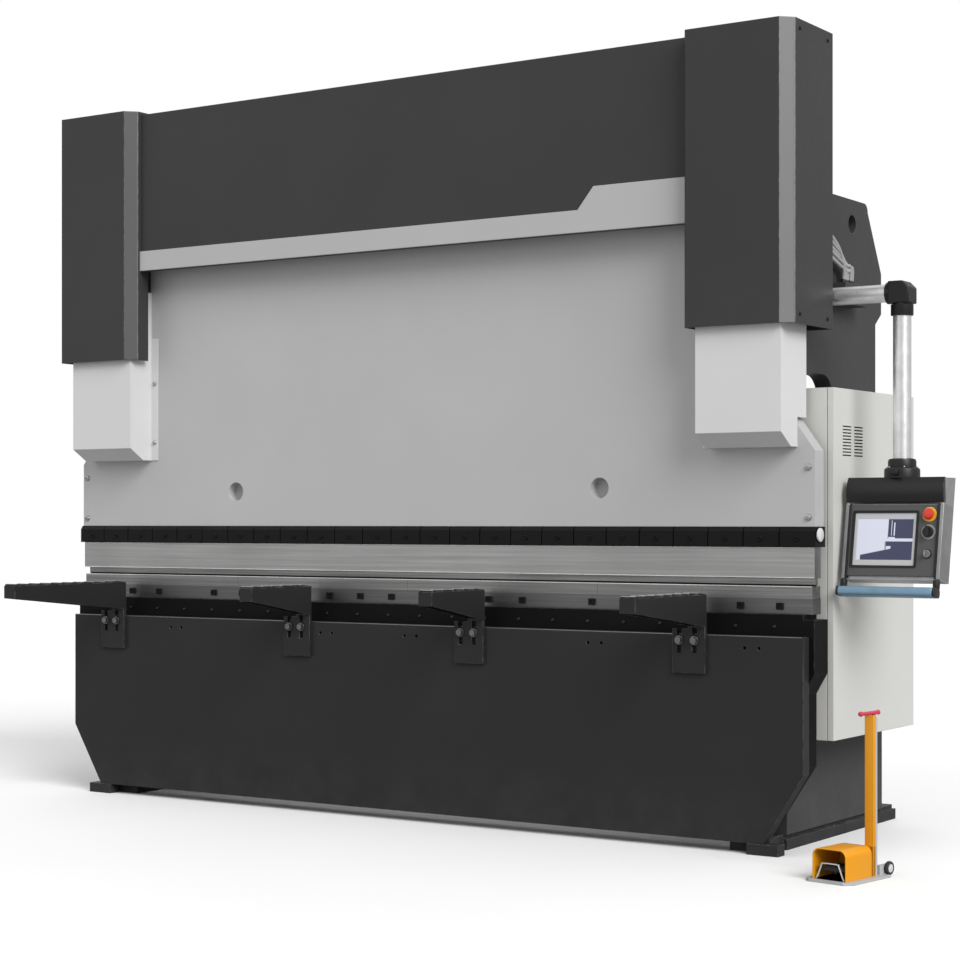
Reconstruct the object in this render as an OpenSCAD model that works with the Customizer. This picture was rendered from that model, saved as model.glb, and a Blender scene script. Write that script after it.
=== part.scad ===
/* [Overall] */
// Length of the ram, end to end
work_len = 3186; // [2600:10:4200]
// Height of the machine to the top of the covers
overall_h = 2650; // [2600:10:3300]
// Depth of the base on the floor
base_d = 1040; // [960:10:1400]
// Height of the die's top face, where the sheet lies
table_h = 860; // [830:5:900]

/* [Frame] */
// How far the ram reaches past each side frame
overhang = 137; // [120:1:160]
// Thickness of a side frame plate
side_t = 60; // [40:1:80]
// Depth of the throat behind the bending line
throat = 400; // [300:10:420]
// Thickness of the bed plate
bed_t = 100; // [60:2:120]
// Thickness of the apron plate in front of the bed
apron_t = 44; // [20:1:60]
// Height of the apron's top edge
apron_h = 700; // [690:5:710]
// Lifting hole diameter in each side frame
lift_d = 64; // [40:1:80]
// Floor anchor hole diameter
anchor_d = 22; // [14:1:26]

/* [Ram and hydraulics] */
// Thickness of the ram plate
ram_t = 66; // [50:1:80]
// Stroke of the ram
stroke = 170; // [100:5:200]
// Distance of a cylinder's axis from the ram's end
cyl_inset = 213; // [205:1:225]
// Outside diameter of a cylinder barrel
barrel_d = 240; // [200:2:244]
// Diameter of a piston rod
rod_d = 120; // [80:2:140]
// Diameter of the two blind holes in the ram
ram_hole_d = 70; // [40:1:80]
// Running clearance of sliding fits, on each side
run_gap = 0.05; // [0.02:0.01:0.1]

/* [Covers] */
// Thickness of sheet metal
sheet = 3; // [2:0.5:5]
// Chamfer on the right front corner of each cylinder cover
chamfer_w = 40; // [10:1:50]
// Height of the band of light trim under the fascia
trim_h = 75; // [50:5:90]

/* [Control side] */
// Depth of the electrical cabinet, front to back
cabinet_d = 665; // [600:5:700]
// Height of the electrical cabinet
cabinet_h = 1134; // [1000:2:1200]
// Diameter of the pendant's tubes
tube_d = 58; // [40:1:60]
// Width of the operator's console
console_w = 330; // [300:2:340]

/* [Sheet supports and gauge] */
// Width of a support arm's bracket
bracket_w = 120; // [110:2:140]
// Width of a support arm
arm_w = 56; // [45:1:58]
// Distance of the gauge arms from the middle
gauge_x = 1050; // [900:10:1060]

/* [Hidden] */
$fn = 64;
eps = 1;

// Main planes: x from the machine's middle, y from the middle of the base, z from the floor
half = work_len / 2;
side_x = half - overhang;
side_in = side_x - side_t;
front_y = -base_d / 2;
bend_y = front_y + apron_t + bed_t / 2;
bed_front = bend_y - bed_t / 2;
bed_back = bend_y + bed_t / 2;
rail_top = table_h - 40;
rail_foot = table_h - 90;
side_top = overall_h - 475;
sole_h = 50;
sole_out = 60;
cyl_x = half - cyl_inset;
arm_front = bend_y + 126;
throat_back = bend_y + throat + 6;
throat_low = rail_foot - 50;
throat_high = side_top - 615;
frame_back = base_d / 2 - 123;
waist_back = base_d / 2 - 181;

// Ram
ram_low = table_h + 190;
holder_low = table_h + 25;
clamp_low = table_h + 125;
ram_front = bend_y - ram_t / 2;
ram_back = bend_y + ram_t / 2;
barrel_low = side_top - 435;
barrel_len = 420;
shoulder_z = barrel_low - stroke - 30;
ram_top = side_top - 25;
ram_neck = cyl_x - 145;

// Covers
cover_in = cyl_x - 180;
cover_out = cyl_x + 196;
cover_low = overall_h - 960;
cover_front = bend_y - 179;
cover_back = bend_y + 135;
shroud_w = 304;
shroud_front = cover_front + 25;
shroud_low = ram_low + 255;
shroud_top = cover_low + 270;
fascia_front = cover_front + 55;
fascia_low = overall_h - 615;
trim_step = 75;

// Control side
cabinet_x = side_x + 160;
cabinet_y = bend_y + 56;
cabinet_z = 363;
arm_y = cover_back + 41;
arm_z = side_top - 375;
pendant_x = cabinet_x + 184;
console_top = 1205;
console_h = 335;
console_t = 72;
console_lean = -10;

// Pedal cart
cart_x = side_x + 388;
cart_y = front_y - 262;
cart_turn = -9;
cart_w = 165;
cart_d = 225;
cart_h = 500;
plate_t = 8;
hood_w = 118;
hood_d = 150;
hood_h = 92;
hood_y = -cart_d / 2 + 18;
wheel_d = 42;

// A flat outline in y and z, standing at x and t thick along +x
module yz_plate(x, t) {
    translate([x, 0, 0]) rotate([90, 0, 90]) linear_extrude(t) children();
}
// A flat outline in x and z, standing at y and t thick along +y
module xz_plate(y, t) {
    translate([0, y + t, 0]) rotate([90, 0, 0]) linear_extrude(t) children();
}
// A box from its low corner to its high corner
module block(low, high) {
    translate(low) cube([high[0] - low[0], high[1] - low[1], high[2] - low[2]]);
}
// A bar or bore along y
module y_rod(x, y, z, d, len) {
    translate([x, y, z]) rotate([-90, 0, 0]) cylinder(d = d, h = len);
}
// A bar or bore along x
module x_rod(x, y, z, d, len) {
    translate([x, y, z]) rotate([0, 90, 0]) cylinder(d = d, h = len);
}
// The children on the left and on the right
module both_sides() {
    children();
    mirror([1, 0, 0]) children();
}
// A flat rectangle with round corners
module soft_rect(low, high, r) {
    translate([low[0] + r, low[1]]) square([high[0] - low[0] - 2 * r, high[1] - low[1]]);
    translate([low[0], low[1] + r]) square([high[0] - low[0], high[1] - low[1] - 2 * r]);
    for (x = [low[0] + r, high[0] - r], z = [low[1] + r, high[1] - r])
        translate([x, z]) circle(r);
}

// Side frames
module frame_outline() {
    crown_back = waist_back - 66;
    slant_low = side_top - 233;
    crown_r = 30;
    difference() {
        union() {
            polygon([[bed_back, sole_h], [bed_back, throat_low + 10], [arm_front, throat_low + 10],
                [arm_front, side_top], [crown_back - crown_r, side_top],
                [crown_back - crown_r, side_top - crown_r], [crown_back, side_top - crown_r],
                [waist_back + 51, slant_low], [waist_back + 51, slant_low - 142],
                [waist_back, slant_low - 182], [waist_back, 600], [frame_back, 560],
                [frame_back, sole_h]]);
            translate([crown_back - crown_r, side_top - crown_r]) circle(crown_r);
        }
        soft_rect([bed_back - 300, throat_low], [throat_back, throat_high], 80);
        translate([throat_back + 160, side_top - 85]) circle(d = lift_d);
    }
}
module side_frame(x) {
    color([0.25, 0.25, 0.255]) yz_plate(x, side_t) frame_outline();
}
module side_frame_left() { side_frame(-side_x); }
module side_frame_right() { side_frame(side_in); }

// Sole plates under the side frames, with anchor holes, and the two front feet
anchor_x = side_in - 50;
anchor_y = base_d / 2 - 170;
module sole_feet() {
    foot_x = half - 153;
    foot_w = 110;
    foot_h = 36;
    lip = 14;
    color([0.22, 0.22, 0.225]) both_sides() {
        difference() {
            union() {
                block([side_in - 100, bed_back, 0], [side_x - lip, base_d / 2, sole_h]);
                block([side_in - 100, bed_back, 0], [side_x, base_d / 2, sole_h - lip]);
                block([side_in - 100, bed_front + 8, 0], [side_x - lip, bed_back, sole_h]);
            }
            for (y = [-anchor_y, anchor_y])
                translate([anchor_x, y, -eps]) cylinder(d = anchor_d, h = sole_h + 2 * eps);
        }
        block([foot_x - foot_w / 2, front_y - 6, 0], [foot_x + foot_w / 2, bed_front, foot_h]);
    }
}

// Bed plate: narrow below, flaring to carry the die rail
module bed_plate() {
    low_x = half - 33;
    flare_x = half + 5;
    color([0.14, 0.14, 0.145]) xz_plate(bed_front, bed_t)
        polygon([[-low_x + 150, sole_h], [low_x - 150, sole_h], [low_x, 280], [low_x, 514],
            [flare_x, 580], [flare_x, rail_foot - 17], [low_x, rail_foot - 17], [low_x, rail_foot],
            [-low_x, rail_foot], [-low_x, rail_foot - 17], [-flare_x, rail_foot - 17],
            [-flare_x, 580], [-low_x, 514], [-low_x, 280]]);
}

// Apron plate: the front of the bed, with clipped lower corners and tapped holes
apron_x = half - 13;
module apron_plate() {
    hole_z = apron_h - 40;
    hole_pitch = 52;
    hole_d = 12;
    hole_deep = 20;
    color([0.20, 0.20, 0.205]) difference() {
        xz_plate(front_y, apron_t)
            polygon([[-apron_x + 140, 36], [apron_x - 140, 36], [apron_x, 264], [apron_x, apron_h],
                [-apron_x, apron_h], [-apron_x, 264]]);
        for (x = [-0.68, -0.22, 0.02, 0.5, 0.87] * apron_x, dx = [0, hole_pitch])
            y_rod(x + dx, front_y - eps, hole_z, hole_d, hole_deep + eps);
        for (arm = support_arms, dx = bolt_dx)
            y_rod(arm[0] + dx, front_y - eps, bolt_z, bolt_d + 2 * run_gap, bolt_deep + 2 * eps);
    }
}

// Die rail on the bed, with its square clamp blocks
rail_w = 62;
module die_rail() {
    color([0.42, 0.42, 0.42]) block([-half + 10, bend_y - rail_w / 2, rail_foot],
        [half - 10, bend_y + rail_w / 2, rail_top]);
}
module rail_clamps() {
    pitch = 140;
    size = 22;
    proud = 8;
    count = floor((work_len - 200) / pitch);
    color([0.08, 0.08, 0.08]) for (i = [0 : count])
        if (i % 4 != 3) difference() {
            block([(i - count / 2) * pitch - size / 2, bend_y - rail_w / 2 - proud, rail_foot + 14],
                [(i - count / 2) * pitch + size / 2, bend_y - rail_w / 2, rail_foot + 14 + size]);
            y_rod((i - count / 2) * pitch, bend_y - rail_w / 2 - proud - eps, rail_foot + 25, 9, 6);
        }
}

// Dies: a row of short lengths with a V groove
vee_w = 16;
vee_h = 8;
module dies() {
    count = 8;
    joint = 1;
    foot_w = 30;
    length = (work_len - 20) / count;
    color([0.62, 0.62, 0.61]) for (i = [0 : count - 1])
        yz_plate(-half + 10 + i * length, length - joint)
            polygon([[bend_y - foot_w, rail_top], [bend_y + foot_w, rail_top],
                [bend_y + foot_w, table_h], [bend_y + vee_w / 2, table_h], [bend_y, table_h - vee_h],
                [bend_y - vee_w / 2, table_h], [bend_y - foot_w, table_h]]);
}

// Beams that tie the side frames together
module tie_beams() {
    wall = 12;
    color([0.25, 0.25, 0.255]) {
        for (beam = [[frame_back - 100, 120, 80, 240], [waist_back - 190, side_top - 160, 120, 160],
            [arm_front, side_top - 360, 40, 360]])
            difference() {
                block([-side_in, beam[0], beam[1]], [side_in, beam[0] + beam[2], beam[1] + beam[3]]);
                if (beam[2] > 40)
                    block([-side_in - eps, beam[0] + wall, beam[1] + wall],
                        [side_in + eps, beam[0] + beam[2] - wall, beam[1] + beam[3] - wall]);
            }
    }
}

// Cylinder barrels, each with a mounting foot against its side frame
piston_d = 200;
gland_h = 60;
module cylinder_barrels() {
    foot_half = 90;
    cap_h = 60;
    color([0.30, 0.30, 0.31]) both_sides() difference() {
        union() {
            translate([cyl_x, bend_y, barrel_low]) cylinder(d = barrel_d, h = barrel_len);
            block([cyl_x - foot_half, bend_y, barrel_low + 30], [cyl_x + foot_half, arm_front, barrel_low + barrel_len - 30]);
        }
        translate([cyl_x, bend_y, barrel_low - eps]) cylinder(d = rod_d + 2 * run_gap, h = gland_h + 2 * eps);
        translate([cyl_x, bend_y, barrel_low + gland_h])
            cylinder(d = piston_d + 2 * run_gap, h = barrel_len - gland_h - cap_h);
    }
}
module piston_rods() {
    foot = [150, 96, 24];
    piston_z = barrel_low + gland_h + 12;
    color([0.78, 0.78, 0.79]) both_sides() {
        translate([cyl_x, bend_y, shoulder_z + foot[2]]) cylinder(d = rod_d, h = piston_z - shoulder_z - foot[2]);
        translate([cyl_x, bend_y, piston_z]) cylinder(d = piston_d, h = 70);
        translate([cyl_x - foot[0] / 2, bend_y - foot[1] / 2, shoulder_z]) cube(foot);
    }
}

// Cylinder covers: sheet boxes, open below and behind; corner is -1 or 1, outer is -1 or 1
module cover_outline(inset, outer) {
    left = min(outer * cover_in, outer * cover_out) + inset;
    right = max(outer * cover_in, outer * cover_out) - inset;
    small = 6;
    polygon([[left, cover_back + 1 - (inset > 0 ? -eps : 0)], [left, cover_front + small + inset],
        [left + small, cover_front + inset], [right - chamfer_w, cover_front + inset],
        [right, cover_front + chamfer_w + inset], [right, cover_back + 1 - (inset > 0 ? -eps : 0)]]);
}
module cylinder_cover(outer) {
    inner_end = fascia_front + 40;
    color([0.26, 0.26, 0.26]) difference() {
        union() {
            translate([0, 0, cover_low]) linear_extrude(overall_h - cover_low) cover_outline(0, outer);
        }
        translate([0, 0, cover_low - eps]) linear_extrude(overall_h - cover_low - sheet + eps) cover_outline(sheet, outer);
        block([outer > 0 ? cover_in - eps : -cover_in - sheet - eps, inner_end, cover_low - eps],
            [outer > 0 ? cover_in + sheet + eps : -cover_in + eps, cover_back + 2 * eps, overall_h - sheet]);
    }
    color([0.26, 0.26, 0.26]) block([outer > 0 ? side_x : -cover_out, cover_back + 1, cover_low],
        [outer > 0 ? cover_out : -side_x, cover_back + 1 + sheet, overall_h]);
}
module cover_left() { cylinder_cover(-1); }
module cover_right() { cylinder_cover(1); }

// Shrouds: light sheet boxes on the ram that slide up inside the covers
module shroud(side) {
    left = side * cyl_x - shroud_w / 2;
    right = side * cyl_x + shroud_w / 2;
    bevel_y = 72;
    bevel_z = 45;
    notch_z = shroud_low + 95;
    flange_w = 34;
    color([0.82, 0.82, 0.82]) {
        difference() {
            yz_plate(left, shroud_w)
                polygon([[shroud_front, shroud_low + bevel_z], [shroud_front + bevel_y, shroud_low],
                    [ram_front, shroud_low], [ram_front, shroud_top], [shroud_front, shroud_top]]);
            yz_plate(left + sheet, shroud_w - 2 * sheet)
                polygon([[shroud_front + sheet, shroud_low + bevel_z + sheet],
                    [shroud_front + bevel_y, shroud_low + sheet], [ram_front + eps, shroud_low + sheet],
                    [ram_front + eps, shroud_top + eps], [shroud_front + sheet, shroud_top + eps]]);
        }
        block([side > 0 ? right - sheet : left, ram_front, notch_z],
            [side > 0 ? right : left + sheet, ram_back, shroud_top]);
        block([side > 0 ? left - flange_w : right, ram_front - sheet, shroud_low],
            [side > 0 ? left : right + flange_w, ram_front, shroud_top - 180]);
    }
}
module shroud_left() { shroud(-1); }
module shroud_right() { shroud(1); }

// Fascia between the covers, its top return and the legs that stand on the side frames
module fascia() {
    rib_t = 6;
    rib_low = side_top + stroke + 60;
    color([0.25, 0.25, 0.255]) {
        block([-cover_in, fascia_front, fascia_low], [cover_in, fascia_front + sheet, overall_h - 14]);
        block([-cover_in, fascia_front, overall_h - 14], [cover_in, arm_front + 90, overall_h - 14 + sheet]);
        block([-cover_in, fascia_front + sheet, fascia_low], [cover_in, fascia_front + 30, fascia_low + sheet]);
        for (x = [-0.5, 0, 0.5] * cover_in)
            block([x - rib_t / 2, fascia_front + sheet, rib_low], [x + rib_t / 2, arm_front + 90, overall_h - 14]);
        both_sides() block([cover_in - 90, arm_front + 60, side_top], [cover_in - 30, arm_front + 90, overall_h - 14]);
        both_sides() block([cover_in - 90, arm_front, side_top], [side_x, arm_front + 90, side_top + sheet * 2]);
    }
}
module trim_strip() {
    proud = 8;
    step_x = 772;
    ramp = 62;
    color([0.70, 0.70, 0.70]) xz_plate(fascia_front - proud, proud)
        polygon([[-cover_in, fascia_low], [cover_in, fascia_low],
            [cover_in, fascia_low + trim_h + trim_step],
            [step_x + ramp, fascia_low + trim_h + trim_step], [step_x, fascia_low + trim_h],
            [-cover_in, fascia_low + trim_h]]);
}

// Oil tank on the beams, its lid, and the pump set that hangs from the lid
tank_x = [-760, 420];
tank_y = [arm_front, waist_back - 70];
tank_h = 220;
lid_t = 10;
lid_top = side_top + 6 + tank_h + lid_t;
module oil_tank() {
    wall = 4;
    color([0.33, 0.34, 0.35]) difference() {
        block([tank_x[0], tank_y[0] + 95, side_top], [tank_x[1], tank_y[1], side_top + 6 + tank_h]);
        block([tank_x[0] + wall, tank_y[0] + 95 + wall, side_top + wall],
            [tank_x[1] - wall, tank_y[1] - wall, side_top + 6 + tank_h + eps]);
    }
}
module tank_lid() {
    lip = 12;
    filler_d = 80;
    color([0.33, 0.34, 0.35]) {
        block([tank_x[0] - lip, tank_y[0] + 95 - lip + 13, lid_top - lid_t], [tank_x[1] + lip, tank_y[1] + lip, lid_top]);
        translate([tank_x[0] + 110, 20, lid_top]) cylinder(d = filler_d, h = 46);
    }
}
module pump_motor() {
    motor_d = 206;
    motor_len = 300;
    fin_d = 230;
    axis_z = lid_top + 122;
    motor_y = 40;
    motor_x = tank_x[1] - 420;
    foot_h = 34;
    fins = 9;
    color([0.20, 0.28, 0.36]) {
        translate([motor_x + 40, motor_y - 70, lid_top]) cube([200, 140, foot_h]);
        x_rod(motor_x, motor_y, axis_z, motor_d, motor_len);
        for (i = [0 : fins - 1]) x_rod(motor_x + 20 + i * 30, motor_y, axis_z, fin_d, 8);
        x_rod(motor_x + motor_len - 5, motor_y, axis_z, 130, 110);
    }
}
module valve_blocks() {
    size = [150, 130, 120];
    color([0.55, 0.56, 0.57]) both_sides() {
        translate([cyl_x - size[0] / 2, bend_y - size[1] / 2, barrel_low + barrel_len]) cube(size);
        for (dx = [-35, 35])
            translate([cyl_x + dx, bend_y, barrel_low + barrel_len + size[2]]) cylinder(d = 44, h = 90);
    }
}
module hydraulic_pipes() {
    pipe_d = 34;
    pipe_z = barrel_low + barrel_len + 60;
    pipe_y = arm_front + 130;
    end_x = tank_x[1] - 60;
    color([0.60, 0.60, 0.61]) {
        for (s = [-1, 1]) {
            start = s * (cyl_x - 75);
            stop = s > 0 ? tank_x[1] : tank_x[0];
            turn = s * (cyl_x - 120);
            x_rod(min(start, turn), bend_y, pipe_z, pipe_d, abs(start - turn));
            translate([turn, bend_y, pipe_z]) sphere(d = pipe_d);
            y_rod(turn, bend_y, pipe_z, pipe_d, pipe_y - bend_y);
            translate([turn, pipe_y, pipe_z]) sphere(d = pipe_d);
            x_rod(min(stop, turn), pipe_y, pipe_z, pipe_d, abs(stop - turn));
        }
    }
}

// Electrical cabinet on the right side frame
module cabinet_shell() {
    wall = 2;
    color([0.80, 0.80, 0.78]) difference() {
        block([side_x, cabinet_y, cabinet_z], [cabinet_x - 22, cabinet_y + cabinet_d, cabinet_z + cabinet_h]);
        block([side_x + wall, cabinet_y + wall, cabinet_z + wall],
            [cabinet_x, cabinet_y + cabinet_d - wall, cabinet_z + cabinet_h - wall]);
        translate([side_x + 60, cabinet_y + cabinet_d - 90, cabinet_z - eps]) cylinder(d = 50, h = wall + 2 * eps);
    }
}
module cabinet_cover() {
    wall = 2;
    fold = 20;
    slot_l = 68;
    slot_h = 4;
    slot_pitch = 10.4;
    color([0.85, 0.85, 0.83]) difference() {
        block([cabinet_x - fold, cabinet_y, cabinet_z], [cabinet_x, cabinet_y + cabinet_d, cabinet_z + cabinet_h]);
        block([cabinet_x - fold - eps, cabinet_y + wall, cabinet_z + wall],
            [cabinet_x - wall, cabinet_y + cabinet_d - wall, cabinet_z + cabinet_h - wall]);
        for (column = [0, 1], row = [0 : 9])
            translate([cabinet_x - wall - eps, cabinet_y + 72 + column * 92, cabinet_z + 916 + row * slot_pitch])
                cube([wall + 2 * eps, slot_l, slot_h]);
    }
}
module control_gear() {
    plate_x = side_x + 12;
    color([0.75, 0.76, 0.76]) {
        block([side_x + 2, cabinet_y + 40, cabinet_z + 40],
            [plate_x, cabinet_y + cabinet_d - 40, cabinet_z + cabinet_h - 40]);
        for (i = [0 : 2])
            block([plate_x, cabinet_y + 80 + i * 130, cabinet_z + 760],
                [plate_x + 100, cabinet_y + 180 + i * 130, cabinet_z + 1020]);
        for (i = [0 : 6])
            block([plate_x, cabinet_y + 80 + i * 70, cabinet_z + 520],
                [plate_x + 70, cabinet_y + 130 + i * 70, cabinet_z + 610]);
        block([plate_x, cabinet_y + 80, cabinet_z + 120], [plate_x + 90, cabinet_y + 260, cabinet_z + 340]);
        block([plate_x, cabinet_y + 300, cabinet_z + 150], [plate_x + 50, cabinet_y + 560, cabinet_z + 200]);
    }
}

// Cables clipped along the side frame: swept tubes that end in the cable box
cable_d = 15;
cable_start = cover_back + 1 + sheet + 0.5;
cable_gap = 18;
cable_top = side_top - 120;
cable_end = side_top - 304.5;
cable_paths = [for (i = [0 : 4])
    let (x = side_x + 12 + (i % 2) * 10, back = cable_start - i * cable_gap, z = cable_top - i * cable_gap)
    [[x, cable_start, z], [x, back + 140, z], [x + 4, back + 230, z - 22], [x + 7, back + 310, z - 58],
     [x + 7, back + 352, z - 104], [x + 5, back + 366, z - 140 + i * 12], [x + 5, back + 366, cable_end]]];
function sub3(a, b) = [a[0] - b[0], a[1] - b[1], a[2] - b[2]];
function unit(v) = v / norm(v);
// Point at u, 0 to 1, on the curve through four neighbours
function blend4(p, u) = 0.5 * ((2 * p[1]) + (p[2] - p[0]) * u + (2 * p[0] - 5 * p[1] + 4 * p[2] - p[3]) * u * u
    + (3 * p[1] - p[0] - 3 * p[2] + p[3]) * u * u * u);
function at(list, i) = list[max(0, min(len(list) - 1, i))];
function smooth(path, cuts) = [for (i = [0 : len(path) - 2], k = [0 : cuts - 1])
    blend4([at(path, i - 1), at(path, i), at(path, i + 1), at(path, i + 2)], k / cuts), path[len(path) - 1]];
module swept_tube(path, d, sides) {
    last = len(path) - 1;
    across = [1, 0, 0];
    rings = [for (i = [0 : last]) let (t = unit(sub3(at(path, i + 1), at(path, i - 1))),
        v = unit(cross(t, across)), u = cross(v, t))
        for (k = [0 : sides - 1]) path[i] + d / 2 * (cos(k * 360 / sides) * u + sin(k * 360 / sides) * v)];
    sides_faces = [for (i = [0 : last - 1], k = [0 : sides - 1])
        let (a = i * sides + k, b = i * sides + (k + 1) % sides) [a, b, b + sides, a + sides]];
    caps = [[for (k = [sides - 1 : -1 : 0]) k], [for (k = [0 : sides - 1]) last * sides + k]];
    polyhedron(rings, concat(sides_faces, caps));
}
module cable_bundle() {
    color([0.62, 0.62, 0.62]) for (path = cable_paths) swept_tube(smooth(path, 2), cable_d, 10);
}
module cable_box() {
    low_z = side_top - 375;
    color([0.10, 0.10, 0.10]) block([side_x, arm_front + 250, low_z], [side_x + 60, arm_front + 430, side_top - 305]);
}

// Pendant arm: bracket, tube and elbow; the drop tube turns in the elbow
elbow = 72;
spigot_d = tube_d - 14;
module pendant_arm() {
    bracket = [64, 72, 150];
    color([0.13, 0.13, 0.13]) block([side_x, arm_y - bracket[1] / 2, arm_z - bracket[2] / 2],
        [side_x + bracket[0], arm_y + bracket[1] / 2, arm_z + bracket[2] / 2]);
    color([0.7, 0.7, 0.7]) x_rod(side_x + bracket[0], arm_y, arm_z, tube_d, pendant_x - elbow / 2 - side_x - bracket[0]);
    color([0.13, 0.13, 0.13]) difference() {
        xz_plate(arm_y - elbow / 2, elbow)
            polygon([[pendant_x - elbow / 2, arm_z - elbow / 2], [pendant_x + elbow / 2, arm_z - elbow / 2],
                [pendant_x + elbow / 2, arm_z + elbow / 4], [pendant_x + elbow / 4, arm_z + elbow / 2],
                [pendant_x - elbow / 2, arm_z + elbow / 2]]);
        translate([pendant_x, arm_y, arm_z - elbow / 2 - eps]) cylinder(d = spigot_d + 2 * run_gap, h = 41);
    }
}
module drop_tube() {
    top = arm_z - elbow / 2 - 0.5;
    neck_z = console_top + 62;
    color([0.74, 0.74, 0.74]) {
        translate([pendant_x, arm_y, neck_z]) cylinder(d = tube_d, h = top - neck_z);
        translate([pendant_x, arm_y, top]) cylinder(d = spigot_d, h = 36);
    }
    color([0.1, 0.1, 0.1]) {
        translate([pendant_x, arm_y, console_top]) cylinder(d = tube_d + 56, h = 34);
        translate([pendant_x, arm_y, console_top + 34]) cylinder(d = tube_d + 34, h = 28);
    }
}

// Console: everything stands in a leaning frame whose origin is its top middle
bezel_t = 8;
face_y = -console_t / 2;
module at_console() {
    translate([pendant_x, arm_y, console_top]) rotate([console_lean, 0, 0]) children();
}
side_wall = 9;
module console_case() {
    hood = 84;
    color([0.16, 0.16, 0.165]) translate([pendant_x, arm_y, console_top]) difference() {
        rotate([console_lean, 0, 0]) yz_plate(-console_w / 2, console_w)
            polygon([[-console_t / 2 - 12, -14], [-console_t / 2 + 4, -hood], [-console_t / 2, -hood - 6],
                [-console_t / 2, -console_h], [console_t / 2, -console_h], [console_t / 2, 40],
                [-console_t / 2 - 12, 40]]);
        block([-console_w, -console_t * 2, 0], [console_w, console_t * 2, 200]);
    }
}
// The bezel carries the screen on the left and three bores for the controls on the right
control_x = console_w / 2 - 46;
stop_z = -126;
dial_z = -182;
key_z = -252;
module console_bezel() {
    edge = 12;
    screen = [[-console_w / 2 + 30, -292], [console_w / 2 - 86, -118]];
    at_console() color([0.30, 0.30, 0.30]) difference() {
        block([-console_w / 2 + edge, face_y - bezel_t, -console_h + edge], [console_w / 2 - edge, face_y, -94]);
        block([screen[0][0], face_y - bezel_t - eps, screen[0][1]], [screen[1][0], face_y + eps, screen[1][1]]);
        for (control = [[stop_z, stop_bore], [dial_z, dial_bore], [key_z, key_bore]])
            y_rod(control_x, face_y - bezel_t - eps, control[0], control[1], bezel_t + 2 * eps);
    }
}
module console_screen() {
    at_console() color([0.6, 0.62, 0.7]) block([-console_w / 2 + 31, face_y - 5, -291], [console_w / 2 - 87, face_y, -119]);
}
module console_handle() {
    grip = [30, 22];
    drop = 34;
    at_console() color([0.42, 0.56, 0.68]) {
        both_sides() block([console_w / 2 - 18, face_y - 20, -console_h - drop], [console_w / 2, face_y + 6, -console_h]);
        block([-console_w / 2, face_y - 20 - grip[0], -console_h - drop - grip[1]],
            [console_w / 2, face_y + 6, -console_h - drop]);
    }
}

// Controls: a stem runs in a bore of the bezel; each head stands clear in front
stop_bore = 22;
dial_bore = 14;
key_bore = 16;
head_gap = 0.5;
stop_travel = 5;
module stop_ring() {
    at_console() color([0.95, 0.70, 0.05]) difference() {
        y_rod(control_x, face_y - bezel_t - 3, stop_z, 48, 3);
        y_rod(control_x, face_y - bezel_t - 4, stop_z, stop_bore, 5);
    }
}
module stop_button() {
    at_console() color([0.80, 0.08, 0.06]) {
        y_rod(control_x, face_y - bezel_t - 3 - stop_travel - head_gap, stop_z, stop_bore - 2 * run_gap,
            bezel_t + 3 + head_gap - 0.5);
        y_rod(control_x, face_y - bezel_t - 3 - stop_travel - head_gap - 12, stop_z, 36, 12);
    }
}
module turned_head(z, bore, head_d, head_h) {
    y_rod(control_x, face_y - bezel_t - head_gap, z, bore - 2 * run_gap, bezel_t + head_gap - 0.5);
    y_rod(control_x, face_y - bezel_t - head_gap - head_h, z, head_d, head_h);
}
module dial_knob() {
    at_console() color([0.08, 0.08, 0.08]) {
        turned_head(dial_z, dial_bore, 34, 10);
        block([control_x - 6, face_y - bezel_t - head_gap - 20, dial_z - 17],
            [control_x + 6, face_y - bezel_t - head_gap - 10, dial_z + 17]);
    }
}
module key_switch() {
    at_console() color([0.55, 0.55, 0.56]) {
        turned_head(key_z, key_bore, 24, 6);
        block([control_x - 2, face_y - bezel_t - head_gap - 24, key_z - 9],
            [control_x + 2, face_y - bezel_t - head_gap - 6, key_z + 9]);
    }
}

// Back gauge: two arms behind the bed, a carriage on them, a lifting beam and two fingers
arm_low = 560;
arm_high = 640;
gauge_rail = [30, 16];
gauge_y = -120;
arm_back = 250;
module gauge_arms() {
    arm_half = 40;
    color([0.24, 0.24, 0.245]) both_sides() {
        block([gauge_x - arm_half, bed_back, arm_low], [gauge_x + arm_half, arm_back, arm_high]);
        block([gauge_x - gauge_rail[0] / 2, bed_back + 10, arm_high],
            [gauge_x + gauge_rail[0] / 2, arm_back - 10, arm_high + gauge_rail[1]]);
        block([gauge_x - arm_half - 20, bed_back, arm_low - 60], [gauge_x + arm_half + 20, bed_back + 16, arm_low]);
        block([gauge_x - arm_half + 5, arm_back, arm_low - 40], [gauge_x + arm_half - 5, arm_back + 80, arm_high]);
    }
}
post = [60, 36];
beam_low = table_h - 120;
beam_high = table_h - 62;
module gauge_carriage() {
    shoe_half = 50;
    shoe_top = arm_high + 50;
    color([0.35, 0.36, 0.37]) {
        both_sides() {
            difference() {
                block([gauge_x - shoe_half, gauge_y - 60, arm_high + 4], [gauge_x + shoe_half, gauge_y + 60, shoe_top]);
                block([gauge_x - gauge_rail[0] / 2 - run_gap, gauge_y - 61, arm_high],
                    [gauge_x + gauge_rail[0] / 2 + run_gap, gauge_y + 61, arm_high + gauge_rail[1] + run_gap]);
            }
            block([gauge_x - post[0] / 2, gauge_y - post[1] / 2, shoe_top],
                [gauge_x + post[0] / 2, gauge_y + post[1] / 2, beam_high + 80]);
        }
        block([-gauge_x + shoe_half, gauge_y - 15, arm_high + 10], [gauge_x - shoe_half, gauge_y + 15, shoe_top - 4]);
    }
}
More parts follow.
